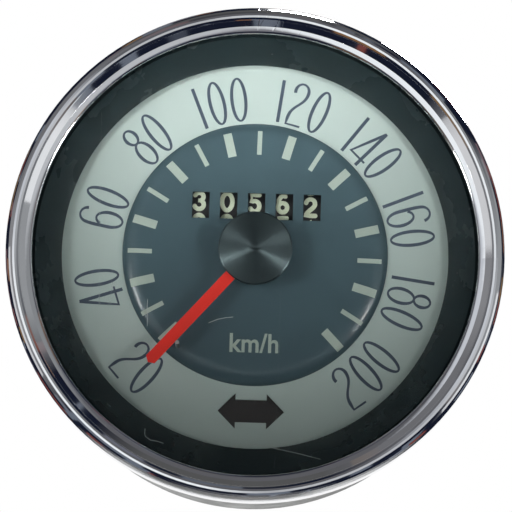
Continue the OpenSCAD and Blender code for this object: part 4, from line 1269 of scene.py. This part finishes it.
@dataclass
class Studio:
    """The camera, the floor, the lamps and the world."""

    frame_px: int = 512
    bezel_px: float = 499.0
    bezel_mm: float = 108.0
    sensor_mm: float = 36.0
    # The camera looks at the aim, in millimetres, from this many metres away; its angles are in degrees
    aim: Place = (0.2, -4.7, -0.6)
    distance: float = 0.9
    near: float = 0.01
    below: float = 9.0
    roll: float = 1.6
    # The floor's height and half its width, in metres
    floor_z: float = -0.145
    floor_half: float = 2.0
    # The room's level in matt surfaces; in metal it has the colours and the windows below
    room_light: float = 0.05
    wall: Colour = (0.008, 0.011, 0.024)
    # The few things on the walls: how small they are, how rare, and their colours
    things_per_unit: float = 9.0
    things_from: tuple[float, float] = (0.70, 0.74)
    kinds_from: tuple[float, float] = (0.3, 0.5)
    amber: Colour = (0.22, 0.13, 0.06)
    red: Colour = (0.20, 0.06, 0.05)
    grey: Colour = (0.15, 0.17, 0.21)
    windows: tuple[Window, ...] = (
        Window((0.05, -0.30, 0.95), 18, 12, (0.10, 0.10, 0.10)),
        Window((-0.60, -0.50, 0.60), 16, 12, (0.17, 0.17, 0.18)),
        Window((0.85, -0.48, 0.05), 20, 14, (0.32, 0.33, 0.34)),
        Window((-0.80, -0.55, 0.02), 18, 12, (0.26, 0.26, 0.27)),
        Window((0.0, -0.988, 0.156), 22, 8, (0.12, 0.12, 0.13)),
        Window((0.0, -0.99, -0.12), 8, 5, (0.22, 0.22, 0.24)),
        Window((0.28, -0.95, 0.15), 9, 5, (0.26, 0.27, 0.28)),
        Window((0.20, -0.97, -0.05), 9, 5, (0.55, 0.56, 0.58)),
        Window((-0.28, -0.95, 0.13), 10, 5, (0.60, 0.62, 0.66)),
        Window((-0.20, -0.97, -0.04), 10, 4, (0.95, 0.98, 1.00)),
        Window((0.0, -0.988, 0.156), 5.5, 2.5, (0.010, 0.012, 0.016)),
        Window((0.0, 1.0, 0.0), 18, 3, (1.0, 1.0, 1.0)))
    lamps: tuple[Lamp, ...] = (
        Lamp("right_spot", (0.30, -0.45, -0.06), 0.10, 4.4, (-0.005, 0.0, 0.062), 20.0),
        Lamp("left_spot", (-0.32, -0.44, -0.03), 0.10, 4.6, (-0.005, 0.0, 0.062), 20.0),
        Lamp("left_lamp", (-0.50, -0.25, -0.07), 0.30, 0.12),
        Lamp("right_lamp", (0.50, -0.25, -0.14), 0.30, 0.15),
        Lamp("top_lamp", (0.1, 0.15, 0.7), 0.16, 16.0, (0.0, 0.05, 0.0), 50.0),
        Lamp("back_lamp", (0.2, 0.6, 0.3), 0.16, 12.0, (0.0, 0.05, 0.0), 40.0))

    def build_camera(self) -> None:
        """Places the camera a little below the dial's axis, turned so that the dial leans clockwise."""
        data = bpy.data.cameras.new("view")
        data.sensor_width = self.sensor_mm
        data.clip_start = self.near
        seen = self.bezel_mm * MM * self.frame_px / self.bezel_px
        data.lens = data.sensor_width * self.distance / seen
        camera = bpy.data.objects.new("view", data)
        bpy.context.scene.collection.objects.link(camera)
        tilt = math.radians(self.below)
        aim = Vector(self.aim) * MM
        camera.location = aim + Vector((0, -math.cos(tilt), -math.sin(tilt))) * self.distance
        level = (aim - camera.location).to_track_quat("-Z", "Y").to_matrix().to_4x4()
        turned = level @ Matrix.Rotation(math.radians(self.roll), 4, "Z")
        camera.rotation_euler = turned.to_euler()
        bpy.context.scene.camera = camera

    def build_room(self, nodes: Nodes, ray: bpy.types.NodeSocket) -> bpy.types.NodeSocket:
        """Paints the room that metal mirrors: dark walls with a few things on them, and bright windows.

        Args:
            nodes: The world's nodes.
            ray: The direction of the ray.

        Returns:
            The room's colour.
        """
        cells = nodes.add("TexVoronoi", {"Vector": ray, "Scale": self.things_per_unit})
        tints = nodes.add("SeparateColor", {0: cells.outputs["Color"]})
        warm = nodes.mix(nodes.spread(tints.outputs[2], *self.kinds_from), self.amber, self.red)
        thing = nodes.mix(nodes.spread(tints.outputs[1], *self.kinds_from), warm, self.grey)
        room = nodes.mix(nodes.spread(tints.outputs[0], *self.things_from), self.wall, thing)
        for window in self.windows:
            room = window.paint(nodes, ray, room)
        return room

    def build_world(self) -> None:
        """Makes the soft room, which the camera sees white and in which metal mirrors the windows."""
        world = bpy.data.worlds.new("room")
        bpy.context.scene.world = world
        world.use_nodes = True
        nodes = Nodes(world.node_tree)
        world.node_tree.nodes.clear()
        room = self.build_room(nodes, nodes.add("TexCoord").outputs["Generated"])
        path = nodes.add("LightPath")
        no_matt = nodes.math("LESS_THAN", path.outputs["Diffuse Depth"], HALF_BOUNCE)
        no_mirror = nodes.math("LESS_THAN", path.outputs["Glossy Depth"], HALF_BOUNCE)
        straight = nodes.math("MULTIPLY", no_matt, no_mirror)
        mirrored = nodes.math("SUBTRACT", no_matt, straight)
        light = nodes.mix(mirrored, (self.room_light,) * 3, room)
        through = nodes.math("MULTIPLY", path.outputs["Is Transmission Ray"], straight)
        seen = nodes.math("MAXIMUM", path.outputs["Is Camera Ray"], through)
        final = nodes.mix(seen, light, WHITE)
        back = nodes.add("Background", {"Color": final, "Strength": 1.0})
        ends = nodes.add("OutputWorld", {"Surface": back.outputs[0]})
        ends.is_active_output = True

    def build_floor(self) -> None:
        """Lays the plain pale floor below the object."""
        work = bmesh.new()
        bmesh.ops.create_grid(work, x_segments=1, y_segments=1, size=self.floor_half)
        bmesh.ops.translate(work, vec=(0, 0, self.floor_z), verts=work.verts)
        mesh = mesh_from(work, "floor")
        mesh.materials.append(PALE_FLOOR.material())
        floor = bpy.data.objects.new("floor", mesh)
        bpy.context.scene.collection.objects.link(floor)

    def build(self) -> None:
        """Builds the camera, the world, the floor and the lamps."""
        self.build_camera()
        self.build_world()
        self.build_floor()
        for lamp in self.lamps:
            lamp.build()


def dress_nodes(nodes: dict[str, bpy.types.Object]) -> None:
    """Gives every node of the frame its finish.

    Args:
        nodes: The frame's objects by node name.
    """
    for name, node in nodes.items():
        node.data.materials.clear()
        node.data.materials.append(NODE_FINISHES[name].material())
    log.info("dressed %d nodes", len(nodes))


def main() -> None:
    """Builds the scene in order."""
    logging.basicConfig(level=logging.INFO, format="%(message)s")
    bpy.context.scene.view_settings.view_transform = "Standard"
    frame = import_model()
    Studio().build()
    dress_nodes(frame["nodes"])
    DialPrint().build()
    Counter().build()
    WindowMarks().build()
    BackFittings().build()


if __name__ == "__main__":
    main()
